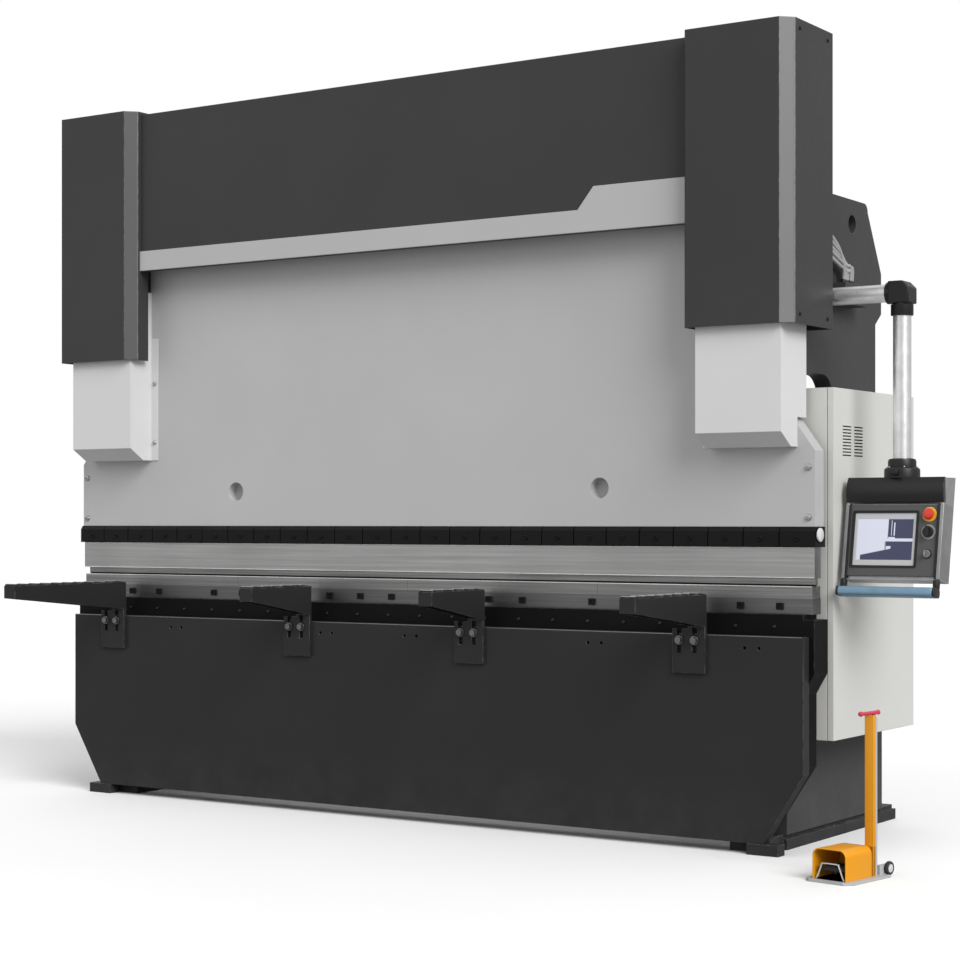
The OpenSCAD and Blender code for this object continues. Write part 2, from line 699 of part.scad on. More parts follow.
module gauge_beam() {
    beam_half = gauge_x + 90;
    color([0.62, 0.63, 0.64]) difference() {
        block([-beam_half, gauge_y - 45, beam_low], [beam_half, gauge_y + 45, beam_high]);
        both_sides() block([gauge_x - post[0] / 2 - run_gap, gauge_y - post[1] / 2 - run_gap, beam_low - eps],
            [gauge_x + post[0] / 2 + run_gap, gauge_y + post[1] / 2 + run_gap, beam_high + eps]);
    }
}
finger_x = 500;
module finger(x) {
    block_half = 40;
    nose_half = 16;
    color([0.45, 0.46, 0.47]) difference() {
        union() {
            block([x - block_half, gauge_y - 58, beam_high - 30], [x + block_half, gauge_y + 58, beam_high + 45]);
            block([x - nose_half, gauge_y - 170, table_h + 2], [x + nose_half, gauge_y - 58, beam_high + 81]);
            block([x - nose_half, gauge_y - 170, beam_high + 45], [x + nose_half, gauge_y + 20, beam_high + 81]);
        }
        block([x - block_half - eps, gauge_y - 45 - run_gap, beam_high - 31],
            [x + block_half + eps, gauge_y + 45 + run_gap, beam_high + run_gap]);
    }
}
module finger_left() { finger(-finger_x); }
module finger_right() { finger(finger_x); }

// Ram guides: rails on the back of the ram run in shoes on the upper beam
guide_x = half - 493;
guide_rail = [34, 20];
module ram_rails() {
    color([0.66, 0.66, 0.67]) both_sides()
        block([guide_x - guide_rail[0] / 2, ram_back, side_top - 460],
            [guide_x + guide_rail[0] / 2, ram_back + guide_rail[1], ram_top]);
}
module guide_shoes() {
    color([0.33, 0.34, 0.35]) both_sides() difference() {
        block([guide_x - 45, ram_back + 4, side_top - 340], [guide_x + 45, arm_front, side_top - 190]);
        block([guide_x - guide_rail[0] / 2 - run_gap, ram_back, side_top - 341],
            [guide_x + guide_rail[0] / 2 + run_gap, ram_back + guide_rail[1] + run_gap, side_top - 189]);
    }
}

// Ram plate: wide below, stepped in at the shoulders where the rods push
module ram_plate() {
    cheek_z = ram_low + 243;
    shoulder_x = cyl_x + 70;
    hole_x = 800;
    hole_z = ram_low + 130;
    hole_deep = 40;
    color([0.72, 0.72, 0.72]) difference() {
        xz_plate(ram_front, ram_t)
            polygon([[half, ram_low], [half, cheek_z], [shoulder_x, cheek_z + (half - shoulder_x) * 1.35],
                [shoulder_x, shoulder_z], [ram_neck, shoulder_z], [ram_neck, ram_top],
                [-ram_neck, ram_top], [-ram_neck, shoulder_z], [-shoulder_x, shoulder_z],
                [-shoulder_x, cheek_z + (half - shoulder_x) * 1.35], [-half, cheek_z], [-half, ram_low]]);
        for (x = [-hole_x, hole_x]) y_rod(x, ram_front - eps, hole_z, ram_hole_d, hole_deep + eps);
    }
}

// Upper tool clamps, the tool holder and the punch
module upper_clamps() {
    count = 25;
    joint = 4;
    pitch = (work_len + 14) / count;
    color([0.10, 0.10, 0.10]) for (i = [0 : count - 1])
        yz_plate(-half - 7 + i * pitch + joint / 2, pitch - joint)
            polygon([[bend_y - 44, clamp_low], [bend_y + 32, clamp_low], [bend_y + 32, ram_low],
                [bend_y - 34, ram_low], [bend_y - 44, ram_low - 14]]);
}
module punch_holder() {
    color([0.66, 0.66, 0.66]) block([-half + 3, bend_y - 30, holder_low], [half - 3, bend_y + 18, clamp_low]);
}
module punch() {
    tip = 1;
    tip_z = table_h - 3;
    color([0.72, 0.72, 0.72]) yz_plate(-half + 10, work_len - 20)
        polygon([[bend_y - tip, tip_z], [bend_y + tip, tip_z], [bend_y + 8, table_h + 5],
            [bend_y + 8, holder_low], [bend_y - 8, holder_low], [bend_y - 8, table_h + 5]]);
}

// Sheet support arms: [bracket middle, reach from the apron]
support_arms = [[-half * 0.858, 590], [-half * 0.281, 340], [half * 0.198, 320], [half * 0.74, 470]];
arm_top = table_h - 30;
bracket_low = arm_top - 257;
bolt_z = apron_h - 20;
bolt_dx = [-34, 22];
bolt_d = 16;
bolt_deep = 24;
slot_w = bolt_d + 2;
slot_half = 42;
slot_mid = bolt_z;
bracket_t = 12;
slide_gap = 0.5;
arm_travel = 30;
module support_arm(i) {
    x = support_arms[i][0];
    reach = support_arms[i][1];
    arm_x = x + bracket_w / 2 - arm_w;
    back_y = front_y - slide_gap;
    root_low = arm_top - 104;
    tip_h = 47;
    wall = 5;
    color([0.22, 0.22, 0.225]) {
        difference() {
            block([x - bracket_w / 2, back_y - bracket_t, bracket_low], [x + bracket_w / 2, back_y, arm_top]);
            for (dx = bolt_dx) {
                block([x + dx - slot_w / 2, back_y - bracket_t - eps, slot_mid - slot_half],
                    [x + dx + slot_w / 2, back_y + eps, slot_mid + slot_half]);
            }
            block([x - bracket_w / 2 - eps, back_y - bracket_t - eps, root_low - 8],
                [arm_x - 6, back_y + eps, arm_top + eps]);
        }
        difference() {
            yz_plate(arm_x, arm_w)
                polygon([[back_y - bracket_t, arm_top], [front_y - reach, arm_top],
                    [front_y - reach, arm_top - tip_h], [back_y - bracket_t, root_low]]);
            yz_plate(arm_x + wall, arm_w - 2 * wall)
                polygon([[back_y - bracket_t - wall, arm_top - wall], [front_y - reach + wall, arm_top - wall],
                    [front_y - reach + wall, arm_top - tip_h - 20], [back_y - bracket_t - wall, root_low - 20]]);
        }
    }
}
module support_arm_1() { support_arm(0); }
module support_arm_2() { support_arm(1); }
module support_arm_3() { support_arm(2); }
module support_arm_4() { support_arm(3); }
module arm_bolts() {
    washer_d = 30;
    head_d = 24;
    washer_y = front_y - 2 * slide_gap - bracket_t;
    color([0.62, 0.62, 0.62]) for (arm = support_arms, dx = bolt_dx) {
        y_rod(arm[0] + dx, washer_y, bolt_z, bolt_d, front_y - washer_y + bolt_deep);
        y_rod(arm[0] + dx, washer_y - 3, bolt_z, washer_d, 3);
        translate([arm[0] + dx, washer_y - 13, bolt_z]) rotate([-90, 30, 0]) cylinder(d = head_d, h = 10, $fn = 6);
    }
}

// Pedal cart: stands on the floor in front of the machine
module at_cart() {
    translate([cart_x, cart_y, 0]) rotate([0, 0, cart_turn]) children();
}
axle_y = cart_d / 2 + 20;
axle_z = wheel_d / 2 + 3;
axle_d = 8;
hinge_y = hood_y + hood_d - 30;
hinge_z = plate_t + 24;
pedal_half = hood_w / 2 - 14;
column_y = hood_y + hood_d - 4;
post_x = hood_w / 2 - 14;
module cart_base() {
    clip = 22;
    ear_x = cart_w / 2 - 30;
    at_cart() color([0.62, 0.63, 0.64]) {
        difference() {
            union() {
                linear_extrude(plate_t) polygon([[-cart_w / 2 + clip, -cart_d / 2], [cart_w / 2 - clip, -cart_d / 2],
                    [cart_w / 2, -cart_d / 2 + clip], [cart_w / 2, cart_d / 2], [-cart_w / 2, cart_d / 2],
                    [-cart_w / 2, -cart_d / 2 + clip]]);
                for (x = [-ear_x, ear_x])
                    block([x - 5, cart_d / 2 - 20, plate_t], [x + 5, axle_y + 12, axle_z + 12]);
                both_sides() block([pedal_half + 1, hinge_y - 10, plate_t], [pedal_half + 8, hinge_y + 10, hinge_z + 10]);
                translate([post_x, column_y + 26, plate_t]) cylinder(d = 22, h = cart_h - 22 - plate_t);
            }
            x_rod(-cart_w, axle_y, axle_z, axle_d + 2 * run_gap, cart_w * 2);
            x_rod(-cart_w, hinge_y, hinge_z, axle_d + 2 * run_gap, cart_w * 2);
        }
    }
}
module cart_column() {
    column_w = 30;
    at_cart() color([0.95, 0.62, 0.06]) difference() {
        block([post_x - column_w / 2, column_y, plate_t], [post_x + column_w / 2, column_y + 14.5, cart_h - 12]);
        block([post_x - column_w / 2 - eps, column_y + sheet, hood_h + plate_t],
            [post_x + column_w / 2 - sheet, column_y + 15, cart_h - 12 + eps]);
    }
}
hood_r = 18;
module pedal_hood() {
    wall = 4;
    at_cart() color([0.95, 0.62, 0.06]) difference() {
        xz_plate(hood_y, hood_d - 4) union() {
            soft_rect([-hood_w / 2, plate_t + 10], [hood_w / 2, plate_t + hood_h], hood_r);
            translate([-hood_w / 2, plate_t]) square([hood_w, hood_h / 2]);
        }
        xz_plate(hood_y - eps, hood_d - 4 - wall + eps) union() {
            soft_rect([-hood_w / 2 + wall, plate_t + 10], [hood_w / 2 - wall, plate_t + hood_h - wall], hood_r - wall);
            translate([-hood_w / 2 + wall, plate_t - eps]) square([hood_w - 2 * wall, hood_h / 2]);
        }
        y_rod(-hood_w / 2 + 30, hood_y + hood_d - 20, plate_t + 30, 16, 40);
    }
}
module foot_pedal() {
    at_cart() color([0.12, 0.12, 0.12]) {
        x_rod(-pedal_half, hinge_y, hinge_z, 16, 2 * pedal_half);
        x_rod(-pedal_half - 7, hinge_y, hinge_z, axle_d, 2 * pedal_half + 14);
        yz_plate(-pedal_half, 2 * pedal_half)
            polygon([[hinge_y, hinge_z - 6], [hinge_y, hinge_z + 6], [hood_y + 12, hinge_z + 12],
                [hood_y + 12, hinge_z + 2]]);
    }
}
module cart_handle() {
    grip_y = column_y - 45;
    at_cart() color([0.80, 0.12, 0.25]) {
        y_rod(post_x, grip_y, cart_h - 6, 12, 100);
        translate([post_x, grip_y, cart_h - 6]) sphere(d = 16);
        translate([post_x, column_y + 26, cart_h - 22]) cylinder(d = 14, h = 16);
    }
}
module cart_wheels() {
    wheel_w = 12;
    wheel_x = cart_w / 2 - 18;
    at_cart() {
        color([0.08, 0.08, 0.08]) for (x = [-wheel_x - wheel_w / 2, wheel_x - wheel_w / 2])
            x_rod(x, axle_y, axle_z, wheel_d, wheel_w);
        color([0.8, 0.8, 0.8]) x_rod(-wheel_x, axle_y, axle_z, axle_d, 2 * wheel_x);
    }
}

side_frame_left();
side_frame_right();
sole_feet();
bed_plate();
apron_plate();
die_rail();
rail_clamps();
dies();
tie_beams();
cylinder_barrels();
cover_left();
cover_right();
fascia();
trim_strip();
oil_tank();
tank_lid();
pump_motor();
valve_blocks();
hydraulic_pipes();
cabinet_shell();
cabinet_cover();
control_gear();
cable_bundle();
cable_box();
pendant_arm();
arm_bolts();
gauge_arms();
guide_shoes();
ram_plate();
upper_clamps();
punch_holder();
punch();
piston_rods();
shroud_left();
shroud_right();
ram_rails();
drop_tube();
console_case();
console_bezel();
console_screen();
console_handle();
stop_ring();
stop_button();
dial_knob();
key_switch();
gauge_carriage();
gauge_beam();
finger_left();
finger_right();
support_arm_1();
support_arm_2();
support_arm_3();
support_arm_4();
cart_base();
cart_column();
pedal_hood();
foot_pedal();
cart_handle();
cart_wheels();
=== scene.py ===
"""Looks of a hydraulic press brake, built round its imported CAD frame.

Every piece is placed from the frame's own boxes, in metres, and rides on the
body that carries it. Shapes are numpy surfaces; finishes are node materials.
"""

import logging
import math
from dataclasses import dataclass, field
from enum import Enum
from typing import Iterable, Sequence

import bmesh
import bpy
import numpy as np
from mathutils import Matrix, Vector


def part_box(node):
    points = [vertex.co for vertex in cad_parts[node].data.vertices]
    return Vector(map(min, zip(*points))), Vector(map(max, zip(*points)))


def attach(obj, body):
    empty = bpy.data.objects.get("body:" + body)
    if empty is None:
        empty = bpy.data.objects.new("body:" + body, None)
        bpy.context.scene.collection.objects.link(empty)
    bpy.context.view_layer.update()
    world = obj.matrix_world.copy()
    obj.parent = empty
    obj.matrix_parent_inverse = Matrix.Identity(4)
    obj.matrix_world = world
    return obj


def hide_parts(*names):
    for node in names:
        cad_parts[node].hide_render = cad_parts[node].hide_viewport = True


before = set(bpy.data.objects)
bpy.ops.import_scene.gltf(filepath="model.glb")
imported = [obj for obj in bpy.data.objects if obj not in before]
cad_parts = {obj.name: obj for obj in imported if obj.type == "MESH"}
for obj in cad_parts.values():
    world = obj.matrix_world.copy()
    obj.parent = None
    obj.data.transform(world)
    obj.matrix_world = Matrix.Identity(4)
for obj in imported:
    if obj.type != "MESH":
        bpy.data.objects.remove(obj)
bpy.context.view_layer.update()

LOG = logging.getLogger("press_brake")
Vec = Sequence[float]
Profile = Sequence[tuple[float, float]]


class Axis(Enum):
    """A row axis, named for the direction it points on the machine."""

    ALONG = 0
    BACK = 1
    UP = 2

    @property
    def across(self) -> tuple[int, int]:
        """The other two directions, in right-handed order."""
        return (self.value + 1) % 3, (self.value + 2) % 3


class Side(Enum):
    """One of the machine's two ends."""

    LEFT = -1
    RIGHT = 1

    @property
    def title(self) -> str:
        """The side's name as it stands in a piece's name."""
        return self.name.lower()


# ---------------------------------------------------------------- surfaces


def span(node: str) -> tuple[np.ndarray, np.ndarray]:
    """Returns a CAD node's lowest and highest corners as arrays."""
    low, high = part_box(node)
    return np.array(low), np.array(high)


def grid_faces(rows: int, cols: int, wrap: bool) -> np.ndarray:
    """Faces of a grid of rows by cols points.

    Args:
        rows: Number of loops along the path.
        cols: Number of points in each loop.
        wrap: True if each loop closes on itself.

    Returns:
        An array of quads, as indices into the flattened grid.
    """
    last = cols if wrap else cols - 1
    row, col = np.meshgrid(np.arange(rows - 1), np.arange(last), indexing="ij")
    here = row * cols + col
    beside = row * cols + (col + 1) % cols
    return np.stack([here, beside, beside + cols, here + cols], axis=-1).reshape(-1, 4)


@dataclass
class Shell:
    """A mesh being gathered from grids; every grid may have closed ends."""

    points: list[np.ndarray] = field(default_factory=list)
    faces: list[list[int]] = field(default_factory=list)
    count: int = 0

    def grid(self, points: np.ndarray, wrap: bool = True, capped: bool = True) -> "Shell":
        """Adds a grid of points.

        Args:
            points: Array of shape (rows, cols, 3).
            wrap: True if each row is a closed loop.
            capped: True to close the first and last loops with a flat face.

        Returns:
            This shell, so that calls can be chained.
        """
        rows, cols = points.shape[:2]
        self.faces += (grid_faces(rows, cols, wrap) + self.count).tolist()
        if wrap and capped:
            first = np.arange(cols) + self.count
            self.faces.append(first[::-1].tolist())
            self.faces.append((first + (rows - 1) * cols).tolist())
        self.points.append(points.reshape(-1, 3))
        self.count += rows * cols
        return self

    def join(self, other: "Shell") -> "Shell":
        """Adds another shell's points and faces to this one.

        Args:
            other: The shell to take in.

        Returns:
            This shell, so that calls can be chained.
        """
        self.faces += [[i + self.count for i in face] for face in other.faces]
        self.points += other.points
        self.count += other.count
        return self

    def moved(self, offset: Vec) -> "Shell":
        """Returns a copy shifted by an offset."""
        shifted = [p + np.asarray(offset) for p in self.points]
        return Shell(shifted, [list(f) for f in self.faces], self.count)

    def turned(self, about: Vec, degrees: float, axis: Axis) -> "Shell":
        """Turns a copy about an axis through a point, by the right-hand rule.

        Args:
            about: A point on the axis.
            degrees: How far to turn.
            axis: Which way the axis runs.

        Returns:
            The turned copy.
        """
        c, s = math.cos(math.radians(degrees)), math.sin(math.radians(degrees))
        i, j = axis.across
        turn = np.eye(3)
        turn[i, i] = turn[j, j] = c
        turn[i, j], turn[j, i] = -s, s
        centre = np.asarray(about)
        spun = [(p - centre) @ turn.T + centre for p in self.points]
        return Shell(spun, [list(f) for f in self.faces], self.count)


def round_rect(width: float, height: float, radius: float, steps: int = 6) -> np.ndarray:
    """A rectangle with round corners, anticlockwise.

    Each corner is a quarter circle about a centre set in by the radius:
    (x, y) = centre + radius * (cos t, sin t).

    Args:
        width: Full width.
        height: Full height.
        radius: Corner radius.
        steps: Segments in each corner.

    Returns:
        Points of shape (4 * (steps + 1), 2).
    """
    radius = min(radius, width / 2 - 1e-5, height / 2 - 1e-5)
    start = np.repeat(np.arange(4) * np.pi / 2, steps + 1)
    t = start + np.tile(np.linspace(0, np.pi / 2, steps + 1), 4)
    sx = np.repeat([1, -1, -1, 1], steps + 1)
    sy = np.repeat([1, 1, -1, -1], steps + 1)
    x = sx * (width / 2 - radius) + radius * np.cos(t)
    y = sy * (height / 2 - radius) + radius * np.sin(t)
    return np.stack([x, y], axis=-1)


def circle(diameter: float, steps: int = 32) -> np.ndarray:
    """A circle as points (x, y) = r * (cos t, sin t)."""
    t = np.linspace(0, 2 * np.pi, steps, endpoint=False)
    return np.stack([np.cos(t), np.sin(t)], axis=-1) * diameter / 2


def hexagon(across: float) -> np.ndarray:
    """A hexagon whose flats are the given distance apart."""
    return circle(across / math.cos(math.pi / 6), 6)


def lay(loop: np.ndarray, level: np.ndarray, axis: Axis) -> np.ndarray:
    """Puts flat loops into space, each at its own level along an axis.

    Args:
        loop: Points of shape (rows, cols, 2).
        level: Height of each row along the axis.
        axis: The axis that the loops are stacked along.

    Returns:
        Points of shape (rows, cols, 3), turning anticlockwise about the axis.
    """
    rows, cols = loop.shape[:2]
    out = np.zeros((rows, cols, 3))
    first, second = axis.across
    out[..., first] = loop[..., 0]
    out[..., second] = loop[..., 1]
    out[..., axis.value] = level[:, None]
    return out


def soft_box(low: Vec, high: Vec, edge: float, axis: Axis = Axis.UP, corner: float | None = None,
             steps: int = 3) -> Shell:
    """A box with every edge rounded.

    Loops of a round-cornered rectangle are stacked along the axis; near each
    end the loop shrinks by edge * (1 - sin t) while it moves by edge * (1 - cos t).

    Args:
        low: Lowest corner.
        high: Highest corner.
        edge: Radius of the edges round the two end faces.
        axis: Axis that the loops are stacked along.
        corner: Radius of the other four edges; the same as edge if left out.
        steps: Segments in each rounding.

    Returns:
        A closed shell.
    """
    low, high = np.minimum(low, high), np.maximum(low, high)
    size = high - low
    first, second = axis.across
    corner = edge if corner is None else corner
    edge = min(edge, size.min() / 2.01)
    loop = round_rect(size[first], size[second], max(corner, edge), steps)
    t = np.linspace(0, np.pi / 2, steps + 1)
    shrink = np.concatenate([edge * (1 - np.sin(t)), edge * (1 - np.sin(t[::-1]))])
    height = np.concatenate([edge * (1 - np.cos(t)), size[axis.value] - edge * (1 - np.cos(t[::-1]))])
    scale = 1 - 2 * shrink[:, None] / np.array([size[first], size[second]])
    loops = loop[None] * scale[:, None, :]
    points = lay(loops, height, axis)
    middle = (low + high) / 2
    middle[axis.value] = low[axis.value]
    return Shell().grid(points + middle)


def lathe(profile: Profile, base: Vec, axis: Axis, steps: int = 40, flip: bool = False) -> Shell:
    """A turned shape: each (radius, height) of the profile becomes a ring.

    Args:
        profile: Radius and height pairs, from one end to the other.
        base: Point on the axis where height is zero.
        axis: Axis of the turning.
        steps: Points round each ring.
        flip: True to run the heights the other way along the axis.

    Returns:
        A closed shell.
    """
    rings = np.asarray(profile, float)
    if flip:
        rings = rings[::-1] * np.array([1, -1])
    loops = circle(2.0, steps)[None] * np.maximum(rings[:, :1, None], 1e-5)
    return Shell().grid(lay(loops, rings[:, 1], axis) + np.asarray(base))


def smooth_path(points: Sequence[Vec], cuts: int) -> np.ndarray:
    """A curve through the points, by the four-neighbour blend of Catmull and Rom.

    Args:
        points: The points that it passes through.
        cuts: Number of steps between each pair.

    Returns:
        Points of shape ((len - 1) * cuts + 1, 3).
    """
    p = np.asarray(points, float)
    p = np.concatenate([p[:1], p, p[-1:]])
    u = np.linspace(0, 1, cuts, endpoint=False)[None, :, None]
    a, b, c, d = (p[i:len(p) - 3 + i, None, :] for i in range(4))
    square, cube = (2 * a - 5 * b + 4 * c - d) * u**2, (3 * b - a - 3 * c + d) * u**3
    curve = 0.5 * (2 * b + (c - a) * u + square + cube)
    return np.concatenate([curve.reshape(-1, 3), p[-1:]])


def sweep(profile: np.ndarray, path: np.ndarray, up: Vec = (1, 0, 0)) -> Shell:
    """A closed profile carried along a path.

    At each point the profile stands square to the path; its first direction
    is up made square to the tangent, and its second is their cross product.

    Args:
        profile: Closed outline of shape (cols, 2).
        path: Points of shape (rows, 3).
        up: Direction that the profile's first axis leans to.

    Returns:
        A closed shell.
    """
    tangent = np.gradient(path, axis=0)
    tangent /= np.linalg.norm(tangent, axis=1, keepdims=True)
    side = np.asarray(up, float)[None] - (tangent @ np.asarray(up, float))[:, None] * tangent
    side /= np.linalg.norm(side, axis=1, keepdims=True)
    other = np.cross(tangent, side)
    rings = path[:, None] + profile[None, :, :1] * side[:, None] + profile[None, :, 1:] * other[:, None]
    return Shell().grid(rings)


def prism(outline: Profile, start: float, stop: float, axis: Axis) -> Shell:
    """A flat outline made thick along an axis, from start to stop."""
    flat = np.asarray(outline, float)
    return Shell().grid(lay(np.stack([flat, flat]), np.array([start, stop]), axis))


# ---------------------------------------------------------------- node groups


class Sheet:
    """A node tree being written, with short calls for the nodes used here."""

    def __init__(self, tree: bpy.types.NodeTree) -> None:
        """Keeps the tree that nodes are added to."""
        self.tree = tree

    def add(self, kind: str, **settings: object) -> bpy.types.Node:
        """Adds a node and sets its properties and, by index or name, its inputs.

        Args:
            kind: The node's type name.
            **settings: Properties, or "i0", "i1" and so on for input sockets.

        Returns:
            The new node.
        """
        node = self.tree.nodes.new(kind)
        for key, value in settings.items():
            if key[0] == "i" and key[1:].isdigit():
                self.feed(node.inputs[int(key[1:])], value)
            else:
                setattr(node, key, value)
        return node

    def feed(self, socket: bpy.types.NodeSocket, value: object) -> None:
        """Links a socket to an output, or sets its plain value.

        Args:
            socket: The input to fill.
            value: An output socket, a colour or a number.
        """
        if isinstance(value, bpy.types.NodeSocket):
            self.tree.links.new(value, socket)
        elif isinstance(value, tuple) and socket.type == "RGBA":
            socket.default_value = (*value[:3], 1.0)
        else:
            socket.default_value = value

    def math(self, operation: str, a: object, b: object = 0.0, clamp: bool = False) -> bpy.types.NodeSocket:
        """Returns the output of a Math node."""
        return self.add("ShaderNodeMath", operation=operation, use_clamp=clamp, i0=a, i1=b).outputs[0]

    def times(self, a: object, b: object) -> bpy.types.NodeSocket:
        """Returns one value multiplied by another."""
        return self.math("MULTIPLY", a, b)

    def noise(self, vector: object, scale: float, detail: float = 3.0,
              rough: float = 0.5) -> bpy.types.NodeSocket:
        """Adds a Noise Texture.

        Args:
            vector: The place it is read at.
            scale: Its scale, per metre.
            detail: How many finer layers it has.
            rough: How strong the finer layers are.

        Returns:
            Its value.
        """
        node = self.add("ShaderNodeTexNoise")
        self.feed(node.inputs["Vector"], vector)
        self.feed(node.inputs["Scale"], scale)
        node.inputs["Detail"].default_value = detail
        node.inputs["Roughness"].default_value = rough
        return node.outputs[0]

    def range(self, value: object, low: float, high: float, out_low: float = 0.0,
              out_high: float = 1.0) -> bpy.types.NodeSocket:
        """Maps a value from one range to another, and clamps it.

        Args:
            value: The value to map.
            low: Where the first range starts.
            high: Where the first range ends.
            out_low: Where the second range starts.
            out_high: Where the second range ends.

        Returns:
            The mapped value.
        """
        node = self.add("ShaderNodeMapRange", clamp=True, i0=value)
        for index, number in enumerate((low, high, out_low, out_high), start=1):
            node.inputs[index].default_value = number
        return node.outputs[0]

    def mix(self, factor: object, a: object, b: object) -> bpy.types.NodeSocket:
        """Mixes one colour into another.

        Args:
            factor: Share of the second colour.
            a: The first colour.
            b: The second colour.

        Returns:
            The mixed colour.
        """
        node = self.add("ShaderNodeMix", data_type="RGBA")
        self.feed(node.inputs[0], factor)
        self.feed(node.inputs[6], a)
        self.feed(node.inputs[7], b)
        return node.outputs[2]

    def object_place(self) -> bpy.types.NodeSocket:
        """Returns the place on the piece, in metres."""
        return self.add("ShaderNodeTexCoord").outputs["Object"]


class Group(Enum):
    """The shader node groups that the finishes share."""

    # edge mask: worn paint and plastic edges, and painted highlights on bare metal edges
    WORN_EDGE = "worn_edge"
    PAINT_SKIN = "paint_skin"
    BRUSHED = "brushed"
    DUST = "dust"


class Workshop:
    """Builds each shared node group once."""

    def __init__(self) -> None:
        """Builds all the groups."""
        self.trees = {
            Group.WORN_EDGE: self._edge_wear_and_glint(),
            Group.PAINT_SKIN: self._paint_skin(),
            Group.BRUSHED: self._brushed(),
            Group.DUST: self._dust(),
        }

    @staticmethod
    def _open(group: Group, inputs: dict[str, float], outputs: dict[str, str]) -> tuple[Sheet, dict, dict]:
        """Starts a group.

        Args:
            group: Which group it is.
            inputs: Names and defaults of its float inputs.
            outputs: Names and socket types of its outputs.

        Returns:
            The sheet, its input sockets by name, and its output sockets by name.
        """
        tree = bpy.data.node_groups.new(group.value, "ShaderNodeTree")
        for name, default in inputs.items():
            socket = tree.interface.new_socket(name, in_out="INPUT", socket_type="NodeSocketFloat")
            socket.default_value = default
        for name, kind in outputs.items():
            tree.interface.new_socket(name, in_out="OUTPUT", socket_type=kind)
        sheet = Sheet(tree)
        entry, end = sheet.add("NodeGroupInput"), sheet.add("NodeGroupOutput")
        return sheet, dict(entry.outputs.items()), dict(end.inputs.items())

    def _edge_wear_and_glint(self) -> bpy.types.NodeTree:
        """Edges: a mask where the rounded normal leaves the true one, broken by noise; it marks worn paint
        and plastic edges, and painted highlights on metal edges.

        Returns:
            The group's tree.
        """
        sheet, given, out = self._open(
            Group.WORN_EDGE, {"Radius": 0.002, "Break": 40.0},
            {"Mask": "NodeSocketFloat", "Normal": "NodeSocketVector"})
        bevel = sheet.add("ShaderNodeBevel", samples=4, i0=given["Radius"])
        true = sheet.add("ShaderNodeNewGeometry").outputs["True Normal"]
        along = sheet.add("ShaderNodeVectorMath", operation="DOT_PRODUCT", i0=bevel.outputs[0], i1=true)
        bend = sheet.range(along.outputs["Value"], 0.995, 0.85)
        chips = sheet.noise(sheet.object_place(), given["Break"], 4.0, 0.65)
        sheet.feed(out["Mask"], sheet.times(bend, sheet.range(chips, 0.42, 0.62)))
        sheet.feed(out["Normal"], bevel.outputs[0])
        return sheet.tree

    def _paint_skin(self) -> bpy.types.NodeTree:
        """Sprayed paint: broad cloudiness, fine peel and a slight change of gloss.

        Returns:
            The group's tree.
        """
        sheet, given, out = self._open(
            Group.PAINT_SKIN, {"Peel": 450.0, "Cloud": 2.2},
            {"Height": "NodeSocketFloat", "Cloud": "NodeSocketFloat", "Gloss": "NodeSocketFloat"})
        place = sheet.object_place()
        fine = sheet.noise(place, given["Peel"], 2.0, 0.5)
        wide = sheet.noise(place, given["Cloud"], 3.0, 0.55)
        mid = sheet.noise(place, 38.0, 4.0, 0.6)
        sheet.feed(out["Height"], fine)
        sheet.feed(out["Cloud"], sheet.range(wide, 0.3, 0.7))
        sheet.feed(out["Gloss"], sheet.math("ADD", sheet.times(mid, 0.6), sheet.times(fine, 0.4)))
        return sheet.tree

    def _brushed(self) -> bpy.types.NodeTree:
        """Ground steel: scratches drawn out along X, with soft bands across the length.

        Returns:
            The group's tree.
        """
        sheet, given, out = self._open(
            Group.BRUSHED, {"Grain": 900.0, "Stretch": 0.012, "Band": 1.6},
            {"Height": "NodeSocketFloat", "Streak": "NodeSocketFloat", "Band": "NodeSocketFloat"})
        place = sheet.object_place()
        cut = sheet.add("ShaderNodeSeparateXYZ", i0=place)
        join = sheet.add("ShaderNodeCombineXYZ", i0=sheet.times(cut.outputs[0], given["Stretch"]),
                         i1=cut.outputs[1], i2=cut.outputs[2])
        grain = sheet.noise(join.outputs[0], given["Grain"], 3.0, 0.6)
        streak = sheet.noise(join.outputs[0], 120.0, 4.0, 0.7)
        lone = sheet.add("ShaderNodeCombineXYZ", i0=cut.outputs[0])
        band = sheet.noise(lone.outputs[0], given["Band"], 2.0, 0.5)
        sheet.feed(out["Height"], grain)
        sheet.feed(out["Streak"], sheet.range(streak, 0.3, 0.7))
        sheet.feed(out["Band"], sheet.range(band, 0.32, 0.68))
        return sheet.tree

    def _dust(self) -> bpy.types.NodeTree:
        """Dust: a mask on faces that look up, and a thin veil near the floor.

        Returns:
            The group's tree.
        """
        sheet, given, out = self._open(
            Group.DUST, {"Amount": 0.3, "Floor": 0.25}, {"Mask": "NodeSocketFloat"})
        place = sheet.object_place()
        normal = sheet.add("ShaderNodeSeparateXYZ", i0=sheet.add("ShaderNodeNewGeometry").outputs["Normal"])
        high = sheet.add("ShaderNodeSeparateXYZ", i0=place).outputs[2]
        up = sheet.range(normal.outputs[2], 0.55, 1.0)
        veil = sheet.math("SUBTRACT", 1.0, sheet.math("DIVIDE", high, given["Floor"], clamp=True),
                          clamp=True)
        settled = sheet.math("MAXIMUM", up, sheet.times(veil, 0.5))
        patch = sheet.range(sheet.noise(place, 9.0, 5.0, 0.65), 0.35, 0.75)
        sheet.feed(out["Mask"], sheet.times(sheet.times(settled, patch), given["Amount"]))
        return sheet.tree


WORKSHOP = Workshop()
PALE_DUST = (0.55, 0.54, 0.52)
DARK_DUST = (0.45, 0.44, 0.42)


# ---------------------------------------------------------------- finishes


